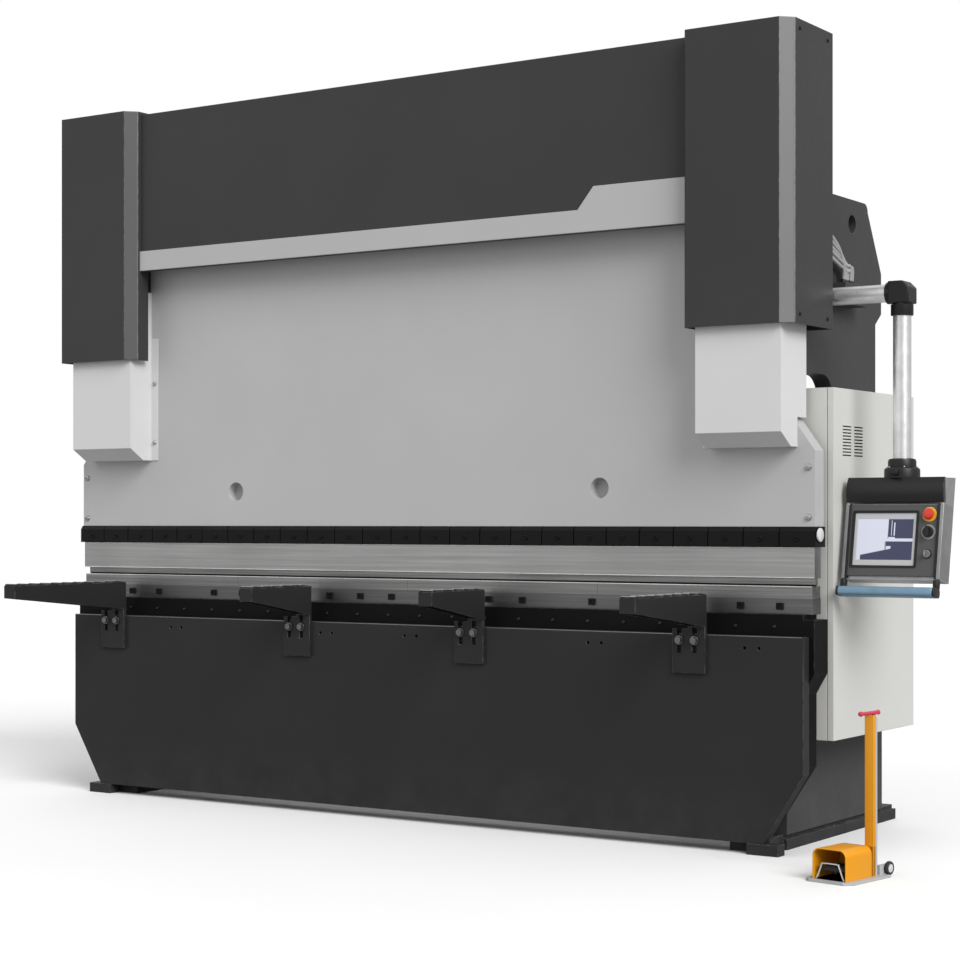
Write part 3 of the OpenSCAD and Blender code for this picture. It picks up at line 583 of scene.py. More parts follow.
@dataclass(frozen=True)
class Finish:
    """What every finish has: a name, a base colour and a roughness."""

    name: str
    colour: tuple[float, float, float]
    roughness: float = 0.5

    def make(self) -> bpy.types.Material:
        """Builds the material, unless it is already built.

        Returns:
            The material.
        """
        title = f"{self.name}_finish"
        known = bpy.data.materials.get(title)
        if known is not None:
            return known
        material = bpy.data.materials.new(title)
        material.use_nodes = True
        material.diffuse_color = (*self.colour, 1.0)
        sheet = Sheet(material.node_tree)
        shader = material.node_tree.nodes["Principled BSDF"]
        self.wire(sheet, shader)
        return material

    def wire(self, sheet: Sheet, shader: bpy.types.Node) -> None:
        """Connects the finish's own nodes; each kind of finish does this its own way."""
        raise NotImplementedError

    @staticmethod
    def group(sheet: Sheet, group: Group, **values: float) -> dict:
        """Places a shared group and sets its inputs.

        Args:
            sheet: The material's sheet.
            group: The group to place.
            **values: Input names and values.

        Returns:
            Its outputs by name.
        """
        node = sheet.add("ShaderNodeGroup", node_tree=WORKSHOP.trees[group])
        for name, value in values.items():
            node.inputs[name].default_value = value
        return dict(node.outputs.items())

    @staticmethod
    def bump(sheet: Sheet, shader: bpy.types.Node, height: object, strength: float, distance: float,
             normal: object | None = None) -> None:
        """Feeds the shader's normal from a height.

        Args:
            sheet: The material's sheet.
            shader: The material's shader.
            height: The height to raise.
            strength: How strongly it shows.
            distance: How far it rises, in metres.
            normal: A normal to start from.
        """
        node = sheet.add("ShaderNodeBump")
        node.inputs["Strength"].default_value = strength
        node.inputs["Distance"].default_value = distance
        sheet.feed(node.inputs["Height"], height)
        if normal is not None:
            sheet.feed(node.inputs["Normal"], normal)
        sheet.feed(shader.inputs["Normal"], node.outputs[0])

    def shade(self, factor: float) -> tuple[float, float, float]:
        """Returns the base colour made darker or lighter."""
        return tuple(min(1.0, c * factor) for c in self.colour)


@dataclass(frozen=True)
class Paint(Finish):
    """Sprayed or powder paint over steel."""

    peel: float = 450.0
    depth: float = 0.00006
    cloud: float = 0.05
    wear: float = 0.25
    edge: float = 0.0025
    bare: tuple[float, float, float] = (0.45, 0.45, 0.45)
    dust: float = 0.12
    coat: float = 0.0
    shine: float = 0.5

    def wire(self, sheet: Sheet, shader: bpy.types.Node) -> None:
        """Paint colour with cloudiness, worn edges and dust on top.

        Args:
            sheet: The material's sheet.
            shader: The material's shader.
        """
        skin = self.group(sheet, Group.PAINT_SKIN, Peel=self.peel)
        edge = self.group(sheet, Group.WORN_EDGE, Radius=self.edge)
        dust = self.group(sheet, Group.DUST, Amount=self.dust)
        tone = sheet.mix(skin["Cloud"], self.shade(1 - self.cloud), self.shade(1 + self.cloud))
        worn = sheet.times(edge["Mask"], self.wear)
        tone = sheet.mix(worn, tone, self.bare)
        tone = sheet.mix(dust["Mask"], tone, PALE_DUST)
        sheet.feed(shader.inputs["Base Color"], tone)
        rough = sheet.range(skin["Gloss"], 0.3, 0.7, self.roughness * 0.9, self.roughness * 1.1)
        rough = sheet.math("ADD", rough, sheet.times(dust["Mask"], 0.3), clamp=True)
        sheet.feed(shader.inputs["Roughness"], rough)
        shader.inputs["Coat Weight"].default_value = self.coat
        shader.inputs["Coat Roughness"].default_value = 0.15
        shader.inputs["Specular IOR Level"].default_value = self.shine
        self.bump(sheet, shader, skin["Height"], 0.35, self.depth, edge["Normal"])


@dataclass(frozen=True)
class GroundSteel(Finish):
    """Bare steel ground along its length."""

    dark: float = 0.55
    band: float = 0.25
    edge: float = 0.0015

    def wire(self, sheet: Sheet, shader: bpy.types.Node) -> None:
        """Metal with drawn-out scratches, broad bands and edges lightened as a painted highlight.

        Args:
            sheet: The material's sheet.
            shader: The material's shader.
        """
        brushed = self.group(sheet, Group.BRUSHED)
        edge = self.group(sheet, Group.WORN_EDGE, Radius=self.edge, Break=12.0)
        tone = sheet.mix(brushed["Streak"], self.shade(self.dark), self.colour)
        tone = sheet.mix(sheet.times(brushed["Band"], self.band), tone, self.shade(self.dark * 0.8))
        # edges lightened: painted highlight
        tone = sheet.mix(sheet.times(edge["Mask"], 0.6), tone, self.shade(1.35))
        sheet.feed(shader.inputs["Base Color"], tone)
        shader.inputs["Metallic"].default_value = 1.0
        rough = sheet.range(brushed["Streak"], 0.0, 1.0, self.roughness * 1.25, self.roughness * 0.8)
        sheet.feed(shader.inputs["Roughness"], rough)
        self.bump(sheet, shader, brushed["Height"], 0.25, 0.00005, edge["Normal"])


@dataclass(frozen=True)
class TurnedMetal(Finish):
    """Smooth or machined metal with a faint cloud of handling marks."""

    grain: float = 260.0
    metallic: float = 1.0
    edge: float = 0.001

    def wire(self, sheet: Sheet, shader: bpy.types.Node) -> None:
        """Metal whose gloss and tone vary slightly, and whose edges are lightened as a painted highlight.

        Args:
            sheet: The material's sheet.
            shader: The material's shader.
        """
        skin = self.group(sheet, Group.PAINT_SKIN, Peel=self.grain, Cloud=14.0)
        edge = self.group(sheet, Group.WORN_EDGE, Radius=self.edge)
        tone = sheet.mix(skin["Cloud"], self.shade(0.85), self.shade(1.05))
        # edges lightened: painted highlight
        tone = sheet.mix(sheet.times(edge["Mask"], 0.4), tone, self.shade(1.3))
        sheet.feed(shader.inputs["Base Color"], tone)
        shader.inputs["Metallic"].default_value = self.metallic
        sheet.feed(shader.inputs["Roughness"],
                   sheet.range(skin["Gloss"], 0.3, 0.7, self.roughness * 0.75, self.roughness * 1.3))
        self.bump(sheet, shader, skin["Height"], 0.2, 0.00004, edge["Normal"])


@dataclass(frozen=True)
class Moulded(Finish):
    """Moulded plastic or rubber with a fine leather grain."""

    grain: float = 900.0
    depth: float = 0.00008
    coat: float = 0.0
    edge: float = 0.0015
    shine: float = 0.35

    def wire(self, sheet: Sheet, shader: bpy.types.Node) -> None:
        """Plastic colour, worn slightly paler on its edges.

        Args:
            sheet: The material's sheet.
            shader: The material's shader.
        """
        skin = self.group(sheet, Group.PAINT_SKIN, Peel=self.grain, Cloud=10.0)
        edge = self.group(sheet, Group.WORN_EDGE, Radius=self.edge)
        dust = self.group(sheet, Group.DUST, Amount=0.12)
        tone = sheet.mix(skin["Cloud"], self.shade(0.92), self.shade(1.08))
        tone = sheet.mix(sheet.times(edge["Mask"], 0.3), tone, self.shade(1.6))
        tone = sheet.mix(dust["Mask"], tone, DARK_DUST)
        sheet.feed(shader.inputs["Base Color"], tone)
        sheet.feed(shader.inputs["Roughness"],
                   sheet.range(skin["Gloss"], 0.3, 0.7, self.roughness * 0.9, self.roughness * 1.1))
        shader.inputs["Coat Weight"].default_value = self.coat
        shader.inputs["Specular IOR Level"].default_value = self.shine
        self.bump(sheet, shader, skin["Height"], 0.4, self.depth, edge["Normal"])


@dataclass(frozen=True)
class Display(Finish):
    """A lit screen: a pale field with a darker bending figure, drawn from plain shapes."""

    low: tuple[float, float, float] = (0.0, 0.0, 0.0)
    size: tuple[float, float] = (0.2, 0.17)

    def wire(self, sheet: Sheet, shader: bpy.types.Node) -> None:
        """Mixes pale and navy fields by place across the screen.

        Args:
            sheet: The material's sheet.
            shader: The material's shader.
        """
        place = sheet.add("ShaderNodeSeparateXYZ", i0=sheet.object_place())
        across = sheet.math("DIVIDE", sheet.math("SUBTRACT", place.outputs[0], self.low[0]), self.size[0])
        up = sheet.math("DIVIDE", sheet.math("SUBTRACT", place.outputs[2], self.low[2]), self.size[1])
        wobble = sheet.times(sheet.noise(sheet.object_place(), 30.0), 0.004)
        shifted = sheet.math("ADD", across, wobble)
        column = sheet.times(sheet.range(shifted, 0.545, 0.555), sheet.range(up, 0.50, 0.51))
        table = sheet.times(sheet.range(shifted, 0.50, 0.53), sheet.range(up, 0.455, 0.445))
        neck = sheet.math("SUBTRACT", 1.0, self.block(sheet, across, up, (0.53, 0.60), (0.28, 0.36)),
                          clamp=True)
        ramp = sheet.range(sheet.math("SUBTRACT", up, sheet.times(across, 0.25)), 0.17, 0.16)
        foot = sheet.times(ramp, sheet.range(across, 0.12, 0.125))
        navy = sheet.math("MAXIMUM", sheet.math("MAXIMUM", column, sheet.times(table, neck)), foot)
        for wide, tall in (((0.60, 0.606), (0.56, 0.84)), ((0.64, 0.655), (0.56, 0.80)),
                           ((0.56, 0.66), (0.47, 0.53))):
            mark = self.block(sheet, across, up, wide, tall)
            navy = sheet.math("SUBTRACT", navy, mark, clamp=True)
        head = sheet.range(up, 0.86, 0.87)
        frame_x = sheet.times(sheet.range(across, 0.05, 0.06), sheet.range(across, 0.95, 0.94))
        frame_up = sheet.times(sheet.range(up, 0.10, 0.11), sheet.range(up, 0.99, 0.98))
        inside = sheet.times(frame_x, frame_up)
        tone = sheet.mix(navy, (0.60, 0.62, 0.72), self.colour)
        tone = sheet.mix(head, tone, (0.40, 0.41, 0.44))
        tone = sheet.mix(inside, (0.42, 0.42, 0.42), tone)
        sheet.feed(shader.inputs["Base Color"], tone)
        sheet.feed(shader.inputs["Emission Color"], tone)
        shader.inputs["Emission Strength"].default_value = 0.12
        shader.inputs["Roughness"].default_value = self.roughness

    @staticmethod
    def block(sheet: Sheet, across: object, up: object, wide: Vec, tall: Vec) -> bpy.types.NodeSocket:
        """Makes a mask of a rectangle given in shares of the screen's width and height.

        Args:
            sheet: The material's sheet.
            across: Place across the screen, from 0 to 1.
            up: Place up the screen, from 0 to 1.
            wide: The rectangle's left and right edges.
            tall: The rectangle's lower and upper edges.

        Returns:
            A value that is 1 inside and 0 outside.
        """
        soft = 0.004
        across_mask = sheet.times(sheet.range(across, wide[0] - soft, wide[0]),
                                 sheet.range(across, wide[1] + soft, wide[1]))
        up_mask = sheet.times(sheet.range(up, tall[0] - soft, tall[0]),
                             sheet.range(up, tall[1] + soft, tall[1]))
        return sheet.times(across_mask, up_mask)


COVER_DARK = Paint("cover_dark", (0.040, 0.040, 0.0405), 0.45, cloud=0.05, wear=0.3, dust=0.04, shine=0.2)
FASCIA_DARK = Paint("fascia_dark", (0.040, 0.040, 0.0405), 0.45, cloud=0.05, wear=0.3, dust=0.04, shine=0.2)
FRAME_DARK = Paint("frame_dark", (0.046, 0.046, 0.047), 0.5, cloud=0.08, wear=0.35, dust=0.08, shine=0.2)
BED_BLACK = Paint("bed_black", (0.005, 0.005, 0.0051), 0.5, cloud=0.1, wear=0.3, dust=0.02, shine=0.08)
APRON_DARK = Paint("apron_dark", (0.023, 0.023, 0.0235), 0.45, cloud=0.07, wear=0.45, dust=0.06, shine=0.18)
ARM_DARK = Paint("arm_dark", (0.020, 0.020, 0.021), 0.42, cloud=0.08, wear=0.5, dust=0.05, shine=0.2)
RAM_GREY = Paint("ram_grey", (0.44, 0.44, 0.44), 0.42, cloud=0.03, wear=0.2, bare=(0.65, 0.65, 0.65),
                 dust=0.03)
SHROUD_WHITE = Paint("shroud_white", (0.62, 0.62, 0.62), 0.4, cloud=0.02, wear=0.15,
                     bare=(0.75, 0.75, 0.75), dust=0.03)
TRIM_GREY = Paint("trim_grey", (0.43, 0.43, 0.43), 0.4, cloud=0.03, wear=0.5, bare=(0.75, 0.75, 0.75),
                  dust=0.03)
# Painted highlights on the covers' corner chamfers: the grey one lights the right cover, the darker one is
# the left cover's dimmer highlight.
CHAMFER_HIGHLIGHT = Paint("chamfer_highlight", (0.145, 0.145, 0.145), 0.36, cloud=0.05, wear=0.9, bare=(0.6, 0.6, 0.6),
                   dust=0.0)
CHAMFER_DIM_HIGHLIGHT = Paint("chamfer_dim_highlight", (0.070, 0.070, 0.070), 0.36, cloud=0.05, wear=0.9, bare=(0.5, 0.5, 0.5),
                   dust=0.0)
CABINET_WHITE = Paint("cabinet_white", (0.58, 0.58, 0.555), 0.5, peel=260.0, depth=0.00012, cloud=0.02,
                      wear=0.2, bare=(0.7, 0.7, 0.7), dust=0.05)
TANK_GREY = Paint("tank_grey", (0.10, 0.105, 0.11), 0.5, cloud=0.08, wear=0.4, dust=0.35, shine=0.3)
MOTOR_BLUE = Paint("motor_blue", (0.05, 0.11, 0.19), 0.45, cloud=0.08, wear=0.4, dust=0.35)
BARREL_GREY = Paint("barrel_grey", (0.16, 0.165, 0.17), 0.45, cloud=0.06, wear=0.3, dust=0.1)
CART_GREY = Paint("cart_grey", (0.42, 0.43, 0.44), 0.38, cloud=0.05, wear=0.5, dust=0.1)
CART_YELLOW = Paint("cart_yellow", (0.70, 0.285, 0.001), 0.4, cloud=0.04, wear=0.35, bare=(0.9, 0.6, 0.2),
                    dust=0.04, coat=0.15, shine=0.3)
TOOL_STEEL = GroundSteel("tool_steel", (0.53, 0.53, 0.525), 0.34, dark=0.7, band=0.5)
PUNCH_STEEL = GroundSteel("punch_steel", (0.41, 0.41, 0.405), 0.30, dark=0.5, band=0.6)
DIE_STEEL = GroundSteel("die_steel", (0.40, 0.40, 0.395), 0.38, dark=0.55, band=0.5)
RAIL_STEEL = GroundSteel("rail_steel", (0.24, 0.24, 0.24), 0.42, dark=0.6, band=0.5)
MACHINED = TurnedMetal("machined_steel", (0.46, 0.46, 0.46), 0.3)
BOLT_STEEL = TurnedMetal("bolt_steel", (0.50, 0.50, 0.49), 0.28)
ARM_BOLT = TurnedMetal("arm_bolt", (0.20, 0.20, 0.20), 0.32)
CHROME = TurnedMetal("hard_chrome", (0.78, 0.78, 0.79), 0.12)
ALLOY = TurnedMetal("light_alloy", (0.88, 0.88, 0.885), 0.34, metallic=0.85)
RAIL_ALLOY = TurnedMetal("rail_alloy", (0.30, 0.30, 0.305), 0.36, metallic=0.7)
RECESS_BOLT = TurnedMetal("recess_bolt", (0.075, 0.075, 0.075), 0.35)
CASE_ALLOY = TurnedMetal("case_alloy", (0.36, 0.36, 0.365), 0.4, metallic=0.6)
# Bright steel line; beside each cover's corner it is a painted highlight.
EDGE_STEEL = TurnedMetal("edge_steel", (0.30, 0.30, 0.30), 0.35)
# Bright strips along the tools' edges: painted highlights.
TOOL_EDGE_HIGHLIGHT = TurnedMetal("tool_edge_highlight", (0.85, 0.85, 0.85), 0.3)
RIB_STEEL = TurnedMetal("rib_steel", (0.55, 0.55, 0.55), 0.3)
PIPE_STEEL = TurnedMetal("pipe_steel", (0.45, 0.45, 0.45), 0.3)
BLACKENED = Moulded("blackened_steel", (0.007, 0.007, 0.007), 0.42, grain=500.0, shine=0.12)
BLACK_PLASTIC = Moulded("black_plastic", (0.012, 0.012, 0.0125), 0.4, shine=0.3)
VISOR = Moulded("console_visor", (0.010, 0.010, 0.011), 0.35, shine=0.35)
GREY_PLASTIC = Moulded("grey_plastic", (0.30, 0.30, 0.29), 0.5)
BEZEL_GREY = Paint("bezel_grey", (0.078, 0.078, 0.078), 0.42, cloud=0.06, wear=0.4, dust=0.0, shine=0.3)
CABLE_GREY = Moulded("cable_grey", (0.33, 0.33, 0.33), 0.45, grain=1400.0)
RUBBER = Moulded("black_rubber", (0.012, 0.012, 0.012), 0.7, grain=700.0)
GRIP_BLUE = TurnedMetal("grip_blue", (0.17, 0.29, 0.40), 0.4, metallic=0.25)
STOP_YELLOW = Moulded("stop_yellow", (0.85, 0.43, 0.015), 0.3, coat=0.5)
STOP_RED = Moulded("stop_red", (0.60, 0.03, 0.015), 0.25, coat=0.5)
GRIP_RED = Moulded("grip_red", (0.55, 0.03, 0.07), 0.35, coat=0.3)
SIGHT_AMBER = Moulded("sight_amber", (0.55, 0.28, 0.03), 0.12, coat=0.6)
HUB_GREY = Moulded("hub_grey", (0.62, 0.62, 0.62), 0.35, coat=0.2)
SCREEN = Display("screen_glass", (0.030, 0.036, 0.085), 0.16, low=(1.666, 0.0, 0.927), size=(0.212, 0.170))


# ---------------------------------------------------------------- pieces


def place_piece(name: str, shell: Shell, finish: Finish, body: str, replaces: Iterable[str] = (),
                smooth: float | None = 35.0, bevel: float = 0.0) -> bpy.types.Object:
    """Makes a shell into a finished piece that rides on a body.

    Args:
        name: The piece's name.
        shell: Its shape, in metres, in the machine's frame.
        finish: The finish that it is dressed in.
        body: The body that it rides on.
        replaces: CAD nodes that it stands for.
        smooth: Angle in degrees below which edges are shaded smooth, or None for flat.
        bevel: Width of a bevel on its sharp edges.

    Returns:
        The new object.
    """
    mesh = bpy.data.meshes.new(name)
    mesh.from_pydata(np.concatenate(shell.points).tolist(), [], shell.faces)
    work = bmesh.new()
    work.from_mesh(mesh)
    bmesh.ops.remove_doubles(work, verts=work.verts, dist=1e-7)
    bmesh.ops.recalc_face_normals(work, faces=work.faces)
    work.to_mesh(mesh)
    work.free()
    mesh.materials.append(finish.make())
    piece = bpy.data.objects.new(name, mesh)
    bpy.context.scene.collection.objects.link(piece)
    if bevel > 0:
        modifier = piece.modifiers.new("edges", "BEVEL")
        modifier.width = bevel
        modifier.segments = 2
        modifier.limit_method = "ANGLE"
        modifier.angle_limit = math.radians(40)
    if smooth is not None:
        mesh.shade_smooth()
        mesh.set_sharp_from_angle(angle=math.radians(smooth))
    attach(piece, body)
    if replaces:
        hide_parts(*replaces)
    LOG.info("piece %s: %d points on %s", name, len(mesh.vertices), body)
    return piece


def dress(finish: Finish, *nodes: str) -> None:
    """Gives CAD nodes a finish in place of their plain material.

    Args:
        finish: The finish that they get.
        *nodes: The nodes' names.
    """
    for node in nodes:
        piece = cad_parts[node]
        for slot in piece.material_slots:
            slot.material = finish.make()
        LOG.info("dressed %s in %s", node, finish.name)


def bolt_heads(places: Iterable[np.ndarray], axis: Axis, across: float, height: float,
               washer: float = 0.0, flip: bool = False) -> Shell:
    """Hexagon bolt heads with a slight chamfer, all alike.

    Args:
        places: Where each head meets its seat.
        axis: The axis that they stand along.
        across: Width across the flats.
        height: Height of the head.
        washer: Diameter of a washer under each head, or 0 for none.
        flip: True if they stand towards the low end of the axis.

    Returns:
        One shell that holds them all.
    """
    sign, thick = -1 if flip else 1, 0.003
    scale, levels = np.array([1.0, 1.0, 0.86]), np.array([0.0, height * 0.82, height])
    if flip:
        scale, levels = scale[::-1], -levels[::-1]
    head = lay(hexagon(across)[None] * scale[:, None, None], levels, axis)
    lift = np.zeros(3)
    lift[axis.value] = sign * (thick if washer else 0.0)
    disc = [(washer / 2, 0), (washer / 2, 0.0025), (washer / 2 - 0.001, thick)]
    out = Shell()
    for spot in places:
        out.grid(head + spot + lift)
        if washer:
            out.join(lathe(disc, spot, axis, 24, flip))
    return out


def turned_heads(places: Iterable[Vec], profile: Profile, axis: Axis, steps: int,
                 flip: bool = False) -> Shell:
    """Turned heads, all alike.

    Args:
        places: Where each head meets its seat.
        profile: Radius and height pairs, from the seat outwards.
        axis: The axis that they stand along.
        steps: Points round each ring.
        flip: True if they stand towards the low end of the axis.

    Returns:
        One shell that holds them all.
    """
    out = Shell()
    for place in places:
        out.join(lathe(profile, place, axis, steps, flip))
    return out


def row(start: Vec, stop: Vec, count: int) -> np.ndarray:
    """Evenly spaced points from start to stop."""
    t = np.linspace(0, 1, count)[:, None]
    return np.asarray(start) * (1 - t) + np.asarray(stop) * t


# ---------------------------------------------------------------- stage


@dataclass
class Studio:
    """A pale floor, soft light from the right, and the camera."""

    world: float = 0.60
    key: float = 2.75
    floor_tone: tuple[float, float, float] = (0.92, 0.92, 0.92)
    bounce: float = 0.34
    lens: float = 79.8
    eye: tuple[float, float, float] = (4.456, -6.67, 1.065)
    look: tuple[float, float] = (-0.5548, 0.832)
    rise: float = 0.04375

    def build(self) -> None:
        """Makes the camera, the lights, the backdrop and the floor."""
        self._camera()
        self._backdrop()
        self._lights()
        self._floor()
        bpy.context.scene.view_settings.view_transform = "Standard"

    def _camera(self) -> None:
        """Stands the camera level, so that upright edges stay upright."""
        data = bpy.data.cameras.new("camera")
        data.lens = self.lens
        data.shift_y = self.rise
        camera = bpy.data.objects.new("camera", data)
        camera.location = self.eye
        turn = math.atan2(self.look[1], self.look[0]) - math.pi / 2
        camera.rotation_euler = (math.pi / 2, 0, turn)
        bpy.context.scene.collection.objects.link(camera)
        bpy.context.scene.camera = camera

    def _backdrop(self) -> None:
        """A white backdrop whose light is stronger from above than from the horizon."""
        world = bpy.data.worlds.new("studio")
        world.use_nodes = True
        bpy.context.scene.world = world
        sheet = Sheet(world.node_tree)
        background = world.node_tree.nodes["Background"]
        up = sheet.add("ShaderNodeSeparateXYZ",
                       i0=sheet.add("ShaderNodeTexCoord").outputs["Generated"]).outputs[2]
        glow = sheet.range(up, -0.1, 0.8, self.world * 0.72, self.world * 1.25)
        seen = sheet.add("ShaderNodeLightPath").outputs["Is Camera Ray"]
        node = sheet.add("ShaderNodeMix", data_type="FLOAT", i0=seen, i2=glow)
        node.inputs[3].default_value = 1.0
        background.inputs[0].default_value = (1.0, 1.0, 1.0, 1.0)
        sheet.feed(background.inputs[1], node.outputs[0])

    def _lights(self) -> None:
        """A broad soft key from the right and a weak fill from the left."""
        for name, way, power, angle in (("key", (0.83, -0.44, 0.62), self.key, 35.0),
                                        ("fill", (-0.5, -0.8, 0.35), 0.35, 60.0)):
            data = bpy.data.lights.new(name, "SUN")
            data.energy = power
            data.angle = math.radians(angle)
            lamp = bpy.data.objects.new(name, data)
            yaw = math.atan2(way[0], -way[1])
            pitch = math.atan2(math.hypot(way[0], way[1]), way[2])
            lamp.rotation_euler = (pitch, 0, yaw)
            bpy.context.scene.collection.objects.link(lamp)

    def _floor(self) -> None:
        """A wide pale floor with a faint cloudiness; it throws back less light than it shows."""
        material = bpy.data.materials.new("floor")
        material.use_nodes = True
        sheet = Sheet(material.node_tree)
        shader = material.node_tree.nodes["Principled BSDF"]
        cloud = sheet.noise(sheet.object_place(), 0.8, 4.0)
        tone = sheet.mix(cloud, tuple(0.98 * c for c in self.floor_tone), self.floor_tone)
        seen = sheet.add("ShaderNodeLightPath").outputs["Is Camera Ray"]
        tone = sheet.mix(seen, (self.bounce, self.bounce, self.bounce), tone)
        sheet.feed(shader.inputs["Base Color"], tone)
        sheet.feed(shader.inputs["Roughness"], sheet.range(cloud, 0.3, 0.7, 0.75, 0.85))
        half = 60.0
        mesh = bpy.data.meshes.new("floor")
        corners = [(-half, -half, 0), (half, -half, 0), (half, half, 0), (-half, half, 0)]
        mesh.from_pydata(corners, [], [(0, 1, 2, 3)])
        mesh.materials.append(material)
        floor = bpy.data.objects.new("floor", mesh)
        bpy.context.scene.collection.objects.link(floor)


# ---------------------------------------------------------------- cords


@dataclass
class Cables:
    """Five flexible cables that hang out of the right cover into a dark box."""

    diameter: float = 0.0135
    pitch: float = 0.018
    count: int = 5

    def build(self) -> None:
        """Sweeps each cable along its own curve, with a gland where it enters the box."""
        low, high = span("cable_bundle")
        _, box_high = span("cable_box")
        profile = circle(self.diameter, 14)
        collar = [(0.0095, 0), (0.0095, 0.006), (0.0082, 0.007), (0.0082, 0.016), (0.0068, 0.018)]
        paths = [self._path(index, low, high) for index in range(self.count)]
        shell = Shell()
        for path in paths:
            shell.join(sweep(profile, path))
        glands = turned_heads([(*path[-1][:2], box_high[2]) for path in paths], collar, Axis.UP, 18)
        place_piece("cables", shell, CABLE_GREY, "frame", ["cable_bundle"])
        place_piece("cable_glands", glands, BLACK_PLASTIC, "frame")

    def _path(self, index: int, low: np.ndarray, high: np.ndarray) -> np.ndarray:
        """The curve of one cable, from inside the cover, over a crest and down to the box.

        Args:
            index: Which cable it is, from the front.
            low: Lowest corner of the bundle.
            high: Highest corner of the bundle.

        Returns:
            Points along the cable.
        """
        r = self.diameter / 2
        spread = self.pitch * index
        x = low[0] + r + 0.004 + 0.004 * (index % 2)
        out = high[0] - r - 0.002 * (index % 3)
        top = high[2] - r - 0.02 * index
        end = high[1] - r - 0.002 - self.pitch * (self.count - 1 - index)
        start = low[1] + 0.002
        rise = top - 0.02
        knots = [
            (x, start, rise),
            (x + 0.003, start + 0.06, top),
            ((x + out) / 2, start + 0.14 + spread * 0.3, top - 0.012),
            (out, end - 0.06 + spread * 0.1, top - 0.06),
            (out, end - 0.006, low[2] + 0.06),
            (out - 0.004, end, low[2])]
        return smooth_path(knots, 12)


# ---------------------------------------------------------------- sheet metal


@dataclass
class Housing:
    """The dark covers, the fascia with its pale trim, and the side frames."""

    strip: float = 0.040
    bead: float = 0.0016

    def build(self) -> None:
        """Dresses the sheet metal and adds painted highlights on the cover corners, as pale bands and
        bright beads, and screws.
        """
        dress(COVER_DARK, "cover_left", "cover_right")
        dress(FASCIA_DARK, "fascia")
        dress(FRAME_DARK, "side_frame_left", "side_frame_right", "tie_beams", "gauge_arms", "cable_box")
        dress(TRIM_GREY, "trim_strip")
        self._corner_highlights()
        self._screws()

    def _corner_highlights(self) -> None:
        """Painted highlights on the slanted right-hand corner of each cover: a pale band, dimmer on the
        left cover, and beside each a bright bead that is a painted edge highlight.
        """
        skin = 0.0008
        for side, cover in ((Side.LEFT, "cover_left"), (Side.RIGHT, "cover_right")):
            low, high = span(cover)
            near = np.array([high[0] - self.strip, low[1]])
            far = np.array([high[0], low[1] + self.strip])
            out = np.array([1.0, -1.0]) / math.sqrt(2) * skin
            slant = (far - near) / np.linalg.norm(far - near)
            inset = slant * 0.0015
            outline = [near + inset, near + inset + out, far - inset + out, far - inset]
            band = prism([(p[0], p[1]) for p in outline], low[2] + 0.001, high[2] - 0.001, Axis.UP)
            # the left cover's band is a dimmer painted highlight than the right one's
            paint = CHAMFER_DIM_HIGHLIGHT if side is Side.LEFT else CHAMFER_HIGHLIGHT
            place_piece(f"corner_strip_{side.title}", band, paint, "frame", bevel=0.0003)
            # a thin steel line along the corner's outer edge: a painted highlight
            edge = far - inset * 2 + out
            ring = circle(self.bead * 2, 10)
            ends = (low[2] + 0.002, high[2] - 0.002)
            line = sweep(ring, np.array([[edge[0] - 0.001, edge[1] - 0.001, z] for z in ends]))
            place_piece(f"corner_bead_{side.title}", line, EDGE_STEEL, "frame")

    def _screws(self) -> None:
        """Small round screws near the corners of the covers' outer sides."""
        dome = [(0.0065, 0), (0.0065, 0.001), (0.005, 0.0028), (0.0024, 0.0034), (0.0022, 0.0018)]
        front, rear, edge = 0.07, 0.04, 0.03
        for side, cover in ((Side.RIGHT, "cover_right"), (Side.LEFT, "cover_left")):
            low, high = span(cover)
            x = high[0] if side is Side.RIGHT else low[0]
            levels = (low[2] + edge, high[2] - edge) if side is Side.RIGHT else (low[2] + edge,)
            spots = [(x, y, z) for z in levels for y in (low[1] + front, high[1] - rear)]
            heads = turned_heads(spots, dome, Axis.ALONG, 20, flip=side is Side.LEFT)
            place_piece(f"cover_screws_{side.title}", heads, BLACKENED, "frame")


